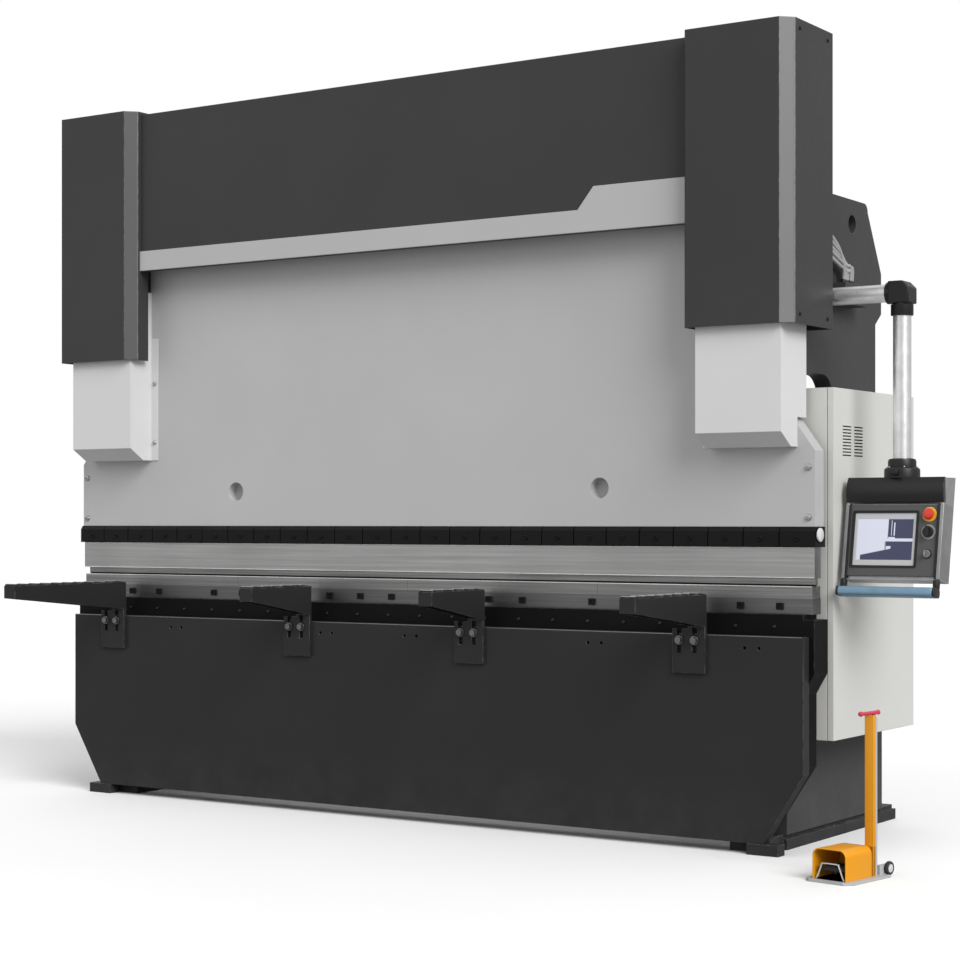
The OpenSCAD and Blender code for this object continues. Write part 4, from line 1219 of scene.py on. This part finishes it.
@dataclass
class RamAndTools:
    """The pale ram, its shrouds, the clamps and the tools that they hold."""

    clamps: int = 25

    def build(self) -> None:
        """Dresses the ram and its tools and adds screws and painted highlights along the tools' edges."""
        dress(RAM_GREY, "ram_plate")
        dress(SHROUD_WHITE, "shroud_left", "shroud_right")
        dress(BLACKENED, "upper_clamps", "rail_clamps")
        dress(TOOL_STEEL, "punch_holder")
        dress(PUNCH_STEEL, "punch")
        dress(DIE_STEEL, "dies")
        dress(RAIL_STEEL, "die_rail")
        dress(CHROME, "piston_rods")
        dress(BARREL_GREY, "cylinder_barrels")
        dress(MACHINED, "ram_rails", "guide_shoes")
        self._ram_bolts()
        self._clamp_screws()
        self._flange_screws()
        self._tool_edge_highlights()

    def _tool_edge_highlights(self) -> None:
        """Painted highlights: bright strips along the holder's top and bottom edges and along the dies' top
        edge.
        """
        for name, node, top, body in (("holder_highlight_top", "punch_holder", True, "ram"),
                                      ("holder_highlight_low", "punch_holder", False, "ram"),
                                      ("die_highlight", "dies", True, "frame")):
            low, high = span(node)
            z = high[2] - 0.002 if top else low[2] + 0.002
            path = np.array([[low[0] + 0.002, low[1] + 0.0006, z], [high[0] - 0.002, low[1] + 0.0006, z]])
            lip = sweep(round_rect(0.0026, 0.0034, 0.001, 3), path, (0, 1, 0))
            place_piece(name, lip, TOOL_EDGE_HIGHLIGHT, body)

    def _ram_bolts(self) -> None:
        """Two bright bolts low on each end of the ram's face."""
        low, high = span("ram_plate")
        dome = [(0.011, 0), (0.011, 0.002), (0.0085, 0.007), (0.004, 0.008), (0.0036, 0.004)]
        edge, lower, upper = 0.022, 0.03, 0.19
        spots = [(x, low[1], low[2] + rise) for x in (low[0] + edge, high[0] - edge)
                 for rise in (lower, upper)]
        heads = turned_heads(spots, dome, Axis.BACK, 24, flip=True)
        place_piece("ram_bolts", heads, BOLT_STEEL, "ram")

    def _clamp_screws(self) -> None:
        """A socket screw in each black clamp, and the pale knob at the right-hand end."""
        low, high = span("upper_clamps")
        pitch = (high[0] - low[0]) / self.clamps
        z = (low[2] + high[2]) / 2 - 0.006
        spots = row((low[0] + pitch / 2, low[1], z), (high[0] - pitch / 2, low[1], z), self.clamps)
        head = [(0.0085, 0), (0.0085, 0.003), (0.0078, 0.004), (0.0045, 0.004), (0.0044, 0.001)]
        heads = turned_heads(spots, head, Axis.BACK, 20, flip=True)
        place_piece("clamp_screws", heads, BLACKENED, "ram")
        knob = lathe([(0.010, 0), (0.010, 0.003), (0.020, 0.003), (0.022, 0.005), (0.022, 0.009),
                      (0.019, 0.011)], (high[0], low[1] + 0.024, high[2] - 0.026), Axis.ALONG, 40)
        place_piece("clamp_knob", knob, HUB_GREY, "ram")

    def _flange_screws(self) -> None:
        """Round screws on the inner flange of each shroud."""
        dome = [(0.009, 0), (0.009, 0.0018), (0.007, 0.005), (0.003, 0.006), (0.0028, 0.003)]
        edge, sheet, lower, upper = 0.016, 0.003, 0.07, 0.30
        ram_low, _ = span("ram_plate")
        for side in Side:
            low, high = span(f"shroud_{side.title}")
            x = high[0] - edge if side is Side.LEFT else low[0] + edge
            spots = [(x, ram_low[1] - sheet, low[2] + rise) for rise in (lower, upper)]
            heads = turned_heads(spots, dome, Axis.BACK, 24, flip=True)
            place_piece(f"shroud_screws_{side.title}", heads, BOLT_STEEL, "ram")


@dataclass
class Bed:
    """The bed plate, its apron, the die rail and their fixings."""

    recess_bolts: int = 22
    margin: float = 0.12
    rail_pitch: float = 0.14
    rail_end: float = 0.011

    def build(self) -> None:
        """Dresses the bed and adds the recess bolts, the rail screws and the apron's bead."""
        dress(BED_BLACK, "bed_plate")
        dress(APRON_DARK, "apron_plate", "sole_feet")
        dress(ARM_BOLT, "arm_bolts")
        self._recess_bolts()
        self._rail_sockets()
        self._apron_edges()

    def _recess_bolts(self) -> None:
        """Small dark bolts in the band between the apron and the die rail."""
        low, high = span("bed_plate")
        apron_low, apron_high = span("apron_plate")
        z = (apron_high[2] + high[2]) / 2 - 0.005
        spots = row((apron_low[0] + self.margin, low[1], z), (apron_high[0] - self.margin, low[1], z),
                    self.recess_bolts)
        heads = bolt_heads(spots, Axis.BACK, 0.007, 0.004, 0.010, flip=True)
        place_piece("recess_bolts", heads, RECESS_BOLT, "frame")

    def _rail_sockets(self) -> None:
        """A dark cap screw in the middle of each black block on the die rail."""
        low, high = span("rail_clamps")
        start, sunk = low[0] + self.rail_end, 0.004
        count = round((high[0] - self.rail_end - start) / self.rail_pitch)
        # every fourth block is left out, as on the rail itself
        spots = [(start + i * self.rail_pitch, low[1] + sunk, (low[2] + high[2]) / 2)
                 for i in range(count + 1) if i % 4 != 3]
        head = [(0.0044, 0), (0.0044, 0.002), (0.0036, 0.0028), (0.002, 0.0028), (0.0019, 0.001)]
        heads = turned_heads(spots, head, Axis.BACK, 16, flip=True)
        place_piece("rail_screws", heads, BLACKENED, "frame")

    def _apron_edges(self) -> None:
        """A thin steel bead along the apron's top edge."""
        low, high = span("apron_plate")
        short, sunk, bead = 0.004, 0.0012, 0.0034
        path = np.array([[x, low[1] + sunk, high[2] - sunk] for x in (low[0] + short, high[0] - short)])
        line = sweep(circle(bead, 10), path, (0, 0, 1))
        place_piece("apron_bead", line, EDGE_STEEL, "frame")


@dataclass
class SupportArm:
    """One front support arm: a stepped top with a bright bar on each step."""

    index: int
    width: float = 0.056
    pitch: float = 0.058
    height: float = 0.006
    end: float = 0.004

    def build(self) -> None:
        """Dresses the arm and lays the steps and their bars on its top."""
        node = f"support_arm_{self.index}"
        body = f"arm_{self.index}"
        dress(ARM_DARK, node)
        low, high = span(node)
        count = max(3, round((high[1] - low[1] - 5 * self.end) / self.pitch))
        edges = np.linspace(low[1] + self.end, high[1] - self.end, count + 1)
        place_piece(f"arm_steps_{self.index}", self._steps(high, edges), ARM_DARK, body,
                    smooth=30.0)
        bars = Shell()
        left, right, top = high[0] - self.width + 0.002, high[0] - 0.002, high[2] + self.height
        for y in edges[:-1]:
            bars.join(soft_box((left, y + 0.001, top - 0.0015), (right, y + 0.0055, top + 0.0012), 0.001,
                               Axis.ALONG))
        place_piece(f"arm_bars_{self.index}", bars, RIB_STEEL, body)

    def _steps(self, high: np.ndarray, edges: np.ndarray) -> Shell:
        """The stepped strip.

        Each step rises to four fifths of its height at its front edge, to all
        of it a little behind, and falls in a straight line to a fifth at its rear.

        Args:
            high: Highest corner of the arm.
            edges: Where the steps begin and end, from the arm's tip.

        Returns:
            One closed shell that holds every step.
        """
        inset, nose, base = 0.001, 0.006, high[2] - 0.0005
        shell = Shell()
        for start, stop in zip(edges[:-1], edges[1:]):
            outline = [(start, base), (stop, base), (stop, high[2] + self.height * 0.2),
                       (start + nose, high[2] + self.height), (start, high[2] + self.height * 0.8)]
            shell.join(prism(outline, high[0] - self.width + inset, high[0] - inset, Axis.ALONG))
        return shell


# ---------------------------------------------------------------- pendant


@dataclass
class Pendant:
    """The operator's console on its swinging tube."""

    lean: float = -10.0
    width: float = 0.330
    depth: float = 0.072
    height: float = 0.335
    tube: float = 0.058
    elbow: float = 0.072
    stop_z: float = -0.126
    dial_z: float = -0.182
    key_z: float = -0.252

    def build(self) -> None:
        """Builds the arm, the hanging tube, the case, the screen and the controls."""
        low, high = span("drop_tube")
        self.pivot = np.array([(low[0] + high[0]) / 2, (low[1] + high[1]) / 2, low[2]])
        self._arm()
        self._drop(low, high)
        self._case()
        self._controls()
        self._handle()

    def at(self, shell: Shell) -> Shell:
        """Moves a shell drawn about the console's hanging point onto the leaning console."""
        return shell.moved(self.pivot).turned(self.pivot, self.lean, Axis.ALONG)

    def _arm(self) -> None:
        """Wall bracket with bolts, bright level tube, and a black elbow with its outer corner clipped."""
        low, high = span("pendant_arm")
        z = (low[2] + high[2]) / 2
        y = self.pivot[1]
        e = self.elbow / 2
        plate, socket = low[0] + 0.012, low[0] + 0.060
        bracket = soft_box((low[0], y - 0.036, low[2]), (plate, y + 0.036, high[2]), 0.003, Axis.ALONG,
                           0.006)
        block = soft_box((plate - 0.002, y - 0.033, z - 0.050), (socket + 0.004, y + 0.033, z + 0.050),
                         0.006, Axis.ALONG, 0.012)
        rim = lathe([(0.036, 0), (0.036, 0.010), (0.034, 0.013)], (socket, y, z), Axis.ALONG)
        place_piece("pendant_bracket", bracket.join(block).join(rim), BLACK_PLASTIC, "frame",
                    ["pendant_arm"])
        spots = [np.array([plate, y + dy, z + dz]) for dy in (-0.024, 0.024) for dz in (-0.064, 0.064)]
        place_piece("bracket_bolts", bolt_heads(spots, Axis.ALONG, 0.010, 0.005, 0.015), BOLT_STEEL,
                    "frame")
        reach = self.pivot[0] - e - socket + 0.002
        tube = lathe([(self.tube / 2, 0), (self.tube / 2, reach)], (socket, y, z), Axis.ALONG, 48)
        place_piece("pendant_tube", tube, ALLOY, "frame", ["pendant_arm"])
        x = self.pivot[0]
        clip = e * 0.62
        outline = [(z - e, x - e), (z - e, x + e), (z + e - clip, x + e), (z + e, x + e - clip),
                   (z + e, x - e)]
        knee = prism(outline, y - e, y + e, Axis.BACK)
        place_piece("pendant_elbow", knee, BLACK_PLASTIC, "frame", ["pendant_arm"],
                    bevel=0.004)
        collar = lathe([(e * 0.98, 0), (e * 0.98, 0.012), (e * 0.93, 0.014)], (x - e - 0.012, y, z),
                       Axis.ALONG, 48)
        place_piece("elbow_collar", collar, BLACK_PLASTIC, "frame", ["pendant_arm"])

    def _drop(self, low: np.ndarray, high: np.ndarray) -> None:
        """Hanging tube and the two-step flange that turns on the case, with a locking tab.

        Args:
            low: Lowest corner of the hanging tube's node.
            high: Highest corner of the hanging tube's node.
        """
        r = self.tube / 2
        top = high[2] - 0.036
        tube = lathe([(r, 0.060), (r, top - low[2]), (r - 0.004, top - low[2]),
                      (r - 0.004, high[2] - low[2])], self.pivot, Axis.UP, 48)
        place_piece("drop_tube_bright", tube, ALLOY, "pendant", ["drop_tube"])
        foot = lathe([(r + 0.028, 0), (r + 0.028, 0.026), (r + 0.026, 0.031), (r + 0.021, 0.034),
                      (r + 0.016, 0.034), (r + 0.016, 0.054), (r + 0.013, 0.061), (r + 0.002, 0.064)],
                     self.pivot, Axis.UP, 48)
        tab = soft_box((-0.012, -r - 0.046, 0.010), (0.012, -r - 0.020, 0.028), 0.003).moved(self.pivot)
        place_piece("drop_flange", foot, BLACK_PLASTIC, "pendant", ["drop_tube"])
        sleeve = lathe([(r + 0.0005, 0), (r + 0.006, 0.001), (r + 0.007, 0.003), (r + 0.007, 0.036),
                        (r + 0.0005, 0.038)], (self.pivot[0], self.pivot[1], top - 0.0385), Axis.UP, 48)
        place_piece("elbow_sleeve", sleeve, BLACK_PLASTIC, "pendant", ["drop_tube"])
        place_piece("flange_tab", tab, BLACK_PLASTIC, "pendant")
        spots = self.pivot + np.stack([np.append(p, 0.034) for p in circle(2 * (r + 0.0215), 6)])
        place_piece("flange_bolts", bolt_heads(spots, Axis.UP, 0.0055, 0.0035), BOLT_STEEL, "pendant")

    def _case(self) -> None:
        """Grey case and bezel, black visor and trims, bright side rails, the screen and its surround."""
        dress(CASE_ALLOY, "console_case")
        dress(BEZEL_GREY, "console_bezel")
        dress(SCREEN, "console_screen")
        half, front = self.width / 2, -self.depth / 2
        for side in Side:
            # the rails stand proud of the case, so that no two faces lie in one plane
            x = side.value * (half + 0.0006)
            inner = x - side.value * 0.013
            inmost = inner - side.value * 0.006
            rail = soft_box((min(x, inner), front - 0.012, -self.height), (max(x, inner), -front, -0.086),
                            0.003, Axis.BACK, 0.008, 4)
            place_piece(f"console_rail_{side.title}", self.at(rail), RAIL_ALLOY, "pendant")
            trim = soft_box((min(inner, inmost), front - 0.014, -self.height + 0.004),
                            (max(inner, inmost), front + 0.01, -0.092), 0.0015, Axis.BACK)
            place_piece(f"console_trim_{side.title}", self.at(trim), BLACK_PLASTIC, "pendant")
        # the visor's section: a shallow sine bow, drop metres tall, carried back by its thickness
        bow, drop, thick = 0.010, 0.080, 0.008
        t = np.linspace(0, np.pi / 2, 9)
        face = np.stack([front - 0.014 - bow * np.sin(2 * t), -0.006 - drop * t / (np.pi / 2)], -1)
        loop = np.concatenate([face, face[::-1] + (thick, 0)])
        brow = prism(loop, -half + 0.001, half - 0.001, Axis.ALONG)
        place_piece("console_visor", self.at(brow), VISOR, "pendant", bevel=0.0012)
        lip_out, lip_in = round_rect(0.224, 0.184, 0.006), round_rect(0.208, 0.169, 0.003)
        centre = np.array([-0.028, front - 0.008, -0.205])
        rings = np.stack([lip_out, lip_out, lip_in, lip_in])[..., ::-1]
        depth = np.array([0.0015, -0.002, -0.0005, 0.0035])
        lip = Shell().grid(lay(rings, depth, Axis.BACK), capped=False)
        place_piece("screen_frame", self.at(lip.moved(centre)), BLACK_PLASTIC, "pendant")

    def _controls(self) -> None:
        """Mushroom button on its ring, the rotary knob on its scale and the key switch."""
        x, face = self.width / 2 - 0.046, -self.depth / 2 - 0.008
        ring = lathe([(0.0112, 0), (0.0238, 0), (0.024, 0.0014), (0.0225, 0.003), (0.0112, 0.003)],
                     (x, face, self.stop_z), Axis.BACK, 48, flip=True)
        place_piece("stop_collar", self.at(ring), STOP_YELLOW, "pendant", ["stop_ring"])
        collar, travel, play = 0.003, 0.005, 0.0005
        gap = collar + travel + play
        head = lathe([(0.0109, -0.0025), (0.0109, gap), (0.0165, gap + 0.0008), (0.018, gap + 0.003),
                      (0.0178, gap + 0.006), (0.0155, gap + 0.0095), (0.010, gap + 0.0116),
                      (0.003, gap + 0.012)], (x, face, self.stop_z), Axis.BACK, 48, flip=True)
        place_piece("stop_mushroom", self.at(head), STOP_RED, "stop", ["stop_button"])
        dress(BLACK_PLASTIC, "dial_knob")
        dress(RAIL_ALLOY, "key_switch")
        scale = lathe([(0.020, 0), (0.0235, 0), (0.0235, 0.001), (0.0195, 0.0016), (0.0190, 0.001)],
                      (x, face, self.dial_z), Axis.BACK, 48, flip=True)
        place_piece("dial_scale", self.at(scale), GREY_PLASTIC, "pendant")
        plate = lathe([(0.0155, 0), (0.0155, 0.0008), (0.0150, 0.0012)], (x, face, self.key_z), Axis.BACK,
                      40, flip=True)
        place_piece("key_plate", self.at(plate), BLACK_PLASTIC, "pendant")

    def _handle(self) -> None:
        """A blue bar with round edges in two dark ends, in place of the plain bar."""
        half, front = self.width / 2, -self.depth / 2
        low, high = -self.height - 0.057, -self.height - 0.027
        bar = soft_box((-half + 0.004, front - 0.050, low), (half - 0.004, front + 0.006, high), 0.008,
                       Axis.ALONG, 0.010, 5)
        place_piece("handle_bar", self.at(bar), GRIP_BLUE, "pendant", ["console_handle"])
        ends = Shell()
        for side in Side:
            x = side.value * half
            inner = x - side.value * 0.018
            ends.join(soft_box((min(x, inner), front - 0.020, high - 0.002),
                               (max(x, inner), front + 0.006, -self.height), 0.003, Axis.UP, 0.006))
            tip = x - side.value * 0.007
            ends.join(soft_box((min(x, tip), front - 0.050, low), (max(x, tip), front + 0.006, high),
                               0.0025, Axis.ALONG, 0.010))
        place_piece("handle_ends", self.at(ends), BLACK_PLASTIC, "pendant",
                    ["console_handle"])


# ---------------------------------------------------------------- cabinet


@dataclass
class Cabinet:
    """The pale electrical cabinet on the right-hand side."""

    slots: int = 10
    pitch: float = 0.0104
    first_slot: tuple[float, float] = (0.072, 0.920)
    column_pitch: float = 0.092

    def build(self) -> None:
        """Dresses the sheets and adds hooded louvres and screws."""
        dress(CABINET_WHITE, "cabinet_shell", "cabinet_cover")
        dress(GREY_PLASTIC, "control_gear")
        low, high = span("cabinet_cover")
        hoods = Shell()
        for column in (0, 1):
            for index in range(self.slots):
                y = low[1] + self.first_slot[0] + column * self.column_pitch
                z = low[2] + self.first_slot[1] + index * self.pitch
                hoods.join(self._hood(high[0], y, z))
        place_piece("louvre_hoods", hoods, CABINET_WHITE, "frame")
        self._fixings(low, high)

    def _hood(self, x: float, y: float, z: float) -> Shell:
        """One pressed hood over a slot.

        A half-round ridge: across = rise * sin t and up = half * cos t, where
        the rise is rise * sqrt(5 * distance from the nearer end), up to full.

        Args:
            x: The cover's outer face.
            y: Front end of the slot.
            z: Lower edge of the slot.

        Returns:
            A closed shell.
        """
        length, tall, half, sunk = 0.070, 0.0026, 0.0018, 0.0003
        u = np.linspace(0, 1, 13)
        rise = tall * np.minimum(1, 5 * np.minimum(u, 1 - u)) ** 0.5
        t = np.linspace(0, np.pi, 7)
        points = np.zeros((len(u), len(t), 3))
        points[..., 0] = x - sunk + rise[:, None] * np.sin(t)[None]
        points[..., 1] = (y - 0.001 + u * length)[:, None]
        points[..., 2] = z + 0.0014 + half * np.cos(t)[None]
        return Shell().grid(points)

    def _fixings(self, low: np.ndarray, high: np.ndarray) -> None:
        """Four flush screws at the corners.

        Args:
            low: Lowest corner of the cabinet's cover.
            high: Highest corner of the cabinet's cover.
        """
        dome = [(0.005, 0), (0.005, 0.0006), (0.004, 0.0018), (0.0018, 0.002), (0.0016, 0.001)]
        edge, sunk = 0.018, 0.0025
        spots = [(high[0] - sunk, y, z) for y in (low[1] + edge, high[1] - edge)
                 for z in (low[2] + edge, high[2] - edge)]
        screws = turned_heads(spots, dome, Axis.ALONG, 18)
        place_piece("cabinet_screws", screws, BOLT_STEEL, "frame")


# ---------------------------------------------------------------- rear


@dataclass
class Hydraulics:
    """The tank, the pump and the pipes on top of the machine."""

    motor_axis: float = 0.115
    fins: int = 36
    cap_ribs: int = 24

    def build(self) -> None:
        """Dresses the hydraulic parts and adds fins, a cap, a sight glass and solenoids."""
        dress(TANK_GREY, "oil_tank", "tank_lid")
        dress(MOTOR_BLUE, "pump_motor")
        dress(ALLOY, "valve_blocks")
        dress(PIPE_STEEL, "hydraulic_pipes")
        self._motor()
        self._tank()
        self._valves()

    def _motor(self) -> None:
        """A ring of cooling fins and an end bell."""
        low, high = span("pump_motor")
        centre_y = (low[1] + high[1]) / 2
        axis_z = high[2] - self.motor_axis
        hub = (0, centre_y, axis_z)
        start, stop, half = low[0] + 0.10, high[0] - 0.05, 0.0016
        fin = soft_box((start, -half, 0.098), (stop, half, 0.1125), 0.0006, Axis.ALONG, steps=1).moved(hub)
        fins = Shell()
        for angle in np.linspace(0, 360, self.fins, endpoint=False):
            fins.join(fin.turned(hub, angle, Axis.ALONG))
        place_piece("motor_fins", fins, MOTOR_BLUE, "frame")
        bell = lathe([(0.060, 0), (0.100, 0.004), (0.108, 0.014), (0.110, 0.041), (0.104, 0.0475)],
                     (high[0] - 0.046, centre_y, axis_z), Axis.ALONG, 48)
        place_piece("motor_bell", bell, MOTOR_BLUE, "frame")

    def _tank(self) -> None:
        """Filler cap with a ribbed grip and a sight glass on the tank's back."""
        low, high = span("oil_tank")
        t = np.linspace(0, 2 * np.pi, 96, endpoint=False)
        radius, rib = 0.036, 0.0012
        ribbed = (radius + rib * np.cos(self.cap_ribs * t))[:, None] * np.stack([np.cos(t), np.sin(t)], -1)
        scale = np.array([0.94, 1.0, 1.0, 0.9])[:, None, None]
        cap = lay(ribbed[None] * scale, np.array([0, 0.004, 0.026, 0.032]), Axis.UP)
        spot = np.array([low[0] + 0.16, (low[1] + high[1]) / 2, high[2] + 0.010])
        place_piece("filler_cap", Shell().grid(cap + spot), BLACK_PLASTIC, "frame")
        x, face = low[0] + 0.10, high[1] + 0.008
        glass = soft_box((x - 0.011, high[1] - 0.002, low[2] + 0.05), (x + 0.011, face, low[2] + 0.17),
                         0.003, Axis.BACK, 0.008)
        place_piece("sight_glass", glass, SIGHT_AMBER, "frame")
        ends = [np.array([x, face, low[2] + rise]) for rise in (0.062, 0.158)]
        place_piece("sight_bolts", bolt_heads(ends, Axis.BACK, 0.010, 0.005), BOLT_STEEL, "frame")

    def _valves(self) -> None:
        """Solenoid barrels on the valve blocks."""
        low, high = span("valve_blocks")
        for side in Side:
            x = side.value * (high[0] - 0.075)
            spot = (x, (low[1] + high[1]) / 2 + 0.062, high[2] - 0.05)
            coil = lathe([(0.010, 0), (0.024, 0.001), (0.025, 0.004), (0.025, 0.052), (0.022, 0.056),
                          (0.012, 0.058), (0.011, 0.068), (0.004, 0.070)], spot, Axis.BACK, 32)
            place_piece(f"solenoid_{side.title}", coil, BLACK_PLASTIC, "frame")


@dataclass
class BackGauge:
    """The back gauge: beam, carriage and stop fingers behind the dies."""

    def build(self) -> None:
        """Dresses the gauge and adds the fingers' screws."""
        dress(ALLOY, "gauge_beam")
        dress(MACHINED, "gauge_carriage", "finger_left", "finger_right")
        for side in Side:
            name = side.title
            low, high = span(f"finger_{name}")
            middle = (low[0] + high[0]) / 2
            spots = [np.array([middle + shift, high[1] - 0.03, high[2]]) for shift in (-0.022, 0.022)]
            place_piece(f"finger_screws_{name}", bolt_heads(spots, Axis.UP, 0.010, 0.006), BLACKENED,
                        f"{name}_finger")


# ---------------------------------------------------------------- pedal


@dataclass
class PedalCart:
    """The wheeled foot-pedal stand beside the machine."""

    turn: float = -9.0
    plate: float = 0.008
    hood: tuple[float, float, float] = (0.118, 0.150, 0.092)
    corner: float = 0.024
    hood_front: float = -0.0945
    column_y: float = 0.0515
    post_x: float = 0.045
    axle: tuple[float, float] = (0.1325, 0.024)
    wheel: float = 0.042
    base_width: float = 0.165

    def build(self) -> None:
        """Builds the hood, the column, the grip, the pedal tread and the wheels."""
        low, high = span("cart_wheels")
        c, s = math.cos(math.radians(self.turn)), math.sin(math.radians(self.turn))
        middle = (low + high) / 2
        self.origin = np.array([middle[0] + s * self.axle[0], middle[1] - c * self.axle[0], 0.0])
        dress(CART_GREY, "cart_base")
        dress(RUBBER, "foot_pedal")
        self._hood()
        self._column()
        self._grip()
        self._tread()
        self._arch_trim()
        self._wheels()

    def at(self, shell: Shell) -> Shell:
        """Moves a shell drawn about the cart's middle onto the turned cart."""
        return shell.turned((0, 0, 0), self.turn, Axis.UP).moved(self.origin)

    def _arch(self, inset: float) -> np.ndarray:
        """Outline of the hood: upright sides under a round-cornered top.

        Args:
            inset: How far inside the hood's outer face the outline runs.

        Returns:
            Points across and up, from left foot to right foot.
        """
        width, _, height = self.hood
        radius = self.corner - inset
        half, top = width / 2 - inset, self.plate + height - inset
        t = np.linspace(np.pi, np.pi / 2, 10)
        left = np.stack([-half + radius + radius * np.cos(t), top - radius + radius * np.sin(t)], -1)
        right = left[::-1] * np.array([-1, 1])
        return np.concatenate([[(-half, self.plate)], left, right, [(half, self.plate)]])

    def _hood(self) -> None:
        """The hood: an arch carried back, its mouth rolled, its back closed by a domed end."""
        wall = 0.004
        _, length, _ = self.hood
        outer, inner = self._arch(0.0), self._arch(wall)
        front, back = self.hood_front, self.hood_front + length - 0.004
        t = np.linspace(0, np.pi, 7)
        rows = []
        for angle in t:
            blend = (1 + math.cos(angle)) / 2
            rows.append((inner * blend + outer * (1 - blend),
                         front + wall / 2 - wall / 2 * math.sin(angle)))
        inside = [(inner, back - wall - 0.004), (inner * 0.98 + np.array([0, 0.001]), back - wall)]
        dome = [(outer, back - 0.014), (outer * np.array([0.985, 1]) - np.array([0, 0.0006]), back - 0.005),
                (outer * np.array([0.94, 1]) - np.array([0, 0.003]), back)]
        rows = [inside[1], inside[0], *rows, *dome]
        loops = np.stack([r[0] for r in rows])
        levels = np.array([r[1] for r in rows])
        # the outline is given as across and up; along the depth axis the pair runs up, across
        points = lay(loops[..., ::-1], levels, Axis.BACK)
        place_piece("hood_shell", self.at(Shell().grid(points)), CART_YELLOW, "cart",
                    ["pedal_hood"], smooth=45.0)

    def _column(self) -> None:
        """A folded channel on a box foot, with a black strip filling the space between its flanges."""
        width, depth, wall = 0.030, 0.0145, 0.003
        low, high = self.plate, 0.488
        x, y = self.post_x, self.column_y
        left, right, top = x - width / 2, x + width / 2, self.plate + self.hood[2]
        shell = soft_box((left, y, low), (right, y + wall, high), 0.0014, Axis.UP, 0.0014)
        shell.join(soft_box((right - wall, y, low), (right, y + depth, high), 0.0014, Axis.UP, 0.0014))
        shell.join(soft_box((left, y, low), (right, y + depth, top), 0.002))
        place_piece("column_channel", self.at(shell), CART_YELLOW, "cart", ["cart_column"])
        strip = soft_box((left - 0.0006, y + wall, top + 0.01),
                         (right - wall, y + depth - 0.001, high - 0.004), 0.0008)
        place_piece("column_dark_fill", self.at(strip), RUBBER, "cart")

    def _grip(self) -> None:
        """A red bar with ball ends on a short stem."""
        y, z = self.column_y - 0.045, 0.494
        profile = [(0.002, -0.008), (0.0058, -0.0058), (0.008, 0.0), (0.0072, 0.0038), (0.0058, 0.008),
                   (0.0058, 0.092), (0.0070, 0.0945), (0.0075, 0.097), (0.0058, 0.0995), (0.002, 0.100)]
        bar = lathe(profile, (self.post_x, y, z), Axis.BACK, 28)
        stem = lathe([(0.007, -0.016), (0.007, 0.0)], (self.post_x, self.column_y + 0.026, z), Axis.UP, 24)
        place_piece("grip_bar", self.at(bar.join(stem)), GRIP_RED, "cart", ["cart_handle"])

    def _tread(self) -> None:
        """A pale lip and ribs on the pedal's upper face."""
        low, high = self.hood_front + 0.014, self.hood_front + 0.095
        slope, height, count = -6.0 / 78.0, 0.0445, 7
        half_x, half_y, lip_x = 0.040, 0.0022, 0.0448
        ribs = Shell()
        for y in np.linspace(low + 0.008, high - 0.012, count):
            z = height + (y - low) * slope
            ribs.join(soft_box((-half_x, y - half_y, z - 0.0015), (half_x, y + half_y, z + 0.0012), 0.0008))
        place_piece("pedal_ribs", self.at(ribs), RUBBER, "pedal")
        lip = soft_box((-lip_x, low - 0.0018, 0.035), (lip_x, low + 0.0004, 0.0438), 0.0008, Axis.ALONG)
        place_piece("pedal_lip", self.at(lip), BOLT_STEEL, "pedal")

    def _arch_trim(self) -> None:
        """A pale edging round the mouth of the pedal's inner guard."""
        y = self.hood_front + 0.007
        left = [[-0.050, y, 0.009], [-0.045, y, 0.014], [-0.030, y, 0.050], [-0.024, y, 0.055]]
        knots = np.array(left + [[-x, y, z] for x, y, z in left[::-1]])
        trim = sweep(round_rect(0.006, 0.003, 0.001), smooth_path(knots, 5), (0, 1, 0))
        place_piece("guard_trim", self.at(trim), HUB_GREY, "cart")

    def _wheels(self) -> None:
        """Two tyres with rounded treads, pale hubs and an axle, turned about the axle line."""
        y, z = self.axle
        half_x = self.base_width / 2 - 0.018
        r, half, pin = self.wheel / 2, 0.006, 0.004
        # each profile is one half of a wheel, given as radius and distance out; the other half mirrors it
        tread = [(r * 0.62, half), (r * 0.9, half), (r * 0.975, half * 0.7), (r, half * 0.25)]
        hub = [(pin, half + 0.001), (r * 0.30, half + 0.001), (r * 0.34, half), (r * 0.60, half + 0.0002),
               (r * 0.63, half - 0.0012)]
        centres = [(side.value * half_x, y, z) for side in Side]
        tyres, hubs = (turned_heads(centres, [(a, -b) for a, b in profile] + profile[::-1], Axis.ALONG, 48)
                       for profile in (tread, hub))
        axle = lathe([(pin, -half_x), (pin, half_x)], (0, y, z), Axis.ALONG, 24)
        place_piece("tyres", self.at(tyres), RUBBER, "wheels", ["cart_wheels"])
        place_piece("wheel_hubs", self.at(hubs.join(axle)), HUB_GREY, "wheels",
                    ["cart_wheels"])


# ---------------------------------------------------------------- assembly


def main() -> None:
    """Builds the whole machine, in order."""
    logging.basicConfig(level=logging.INFO, format="%(message)s")
    Studio().build()
    assemblies = [Cables(), Housing(), RamAndTools(), Bed(), *(SupportArm(i) for i in range(1, 5)),
                  Pendant(), Cabinet(), Hydraulics(), BackGauge(), PedalCart()]
    for assembly in assemblies:
        LOG.info("building %s", type(assembly).__name__)
        assembly.build()


if __name__ == "__main__":
    main()
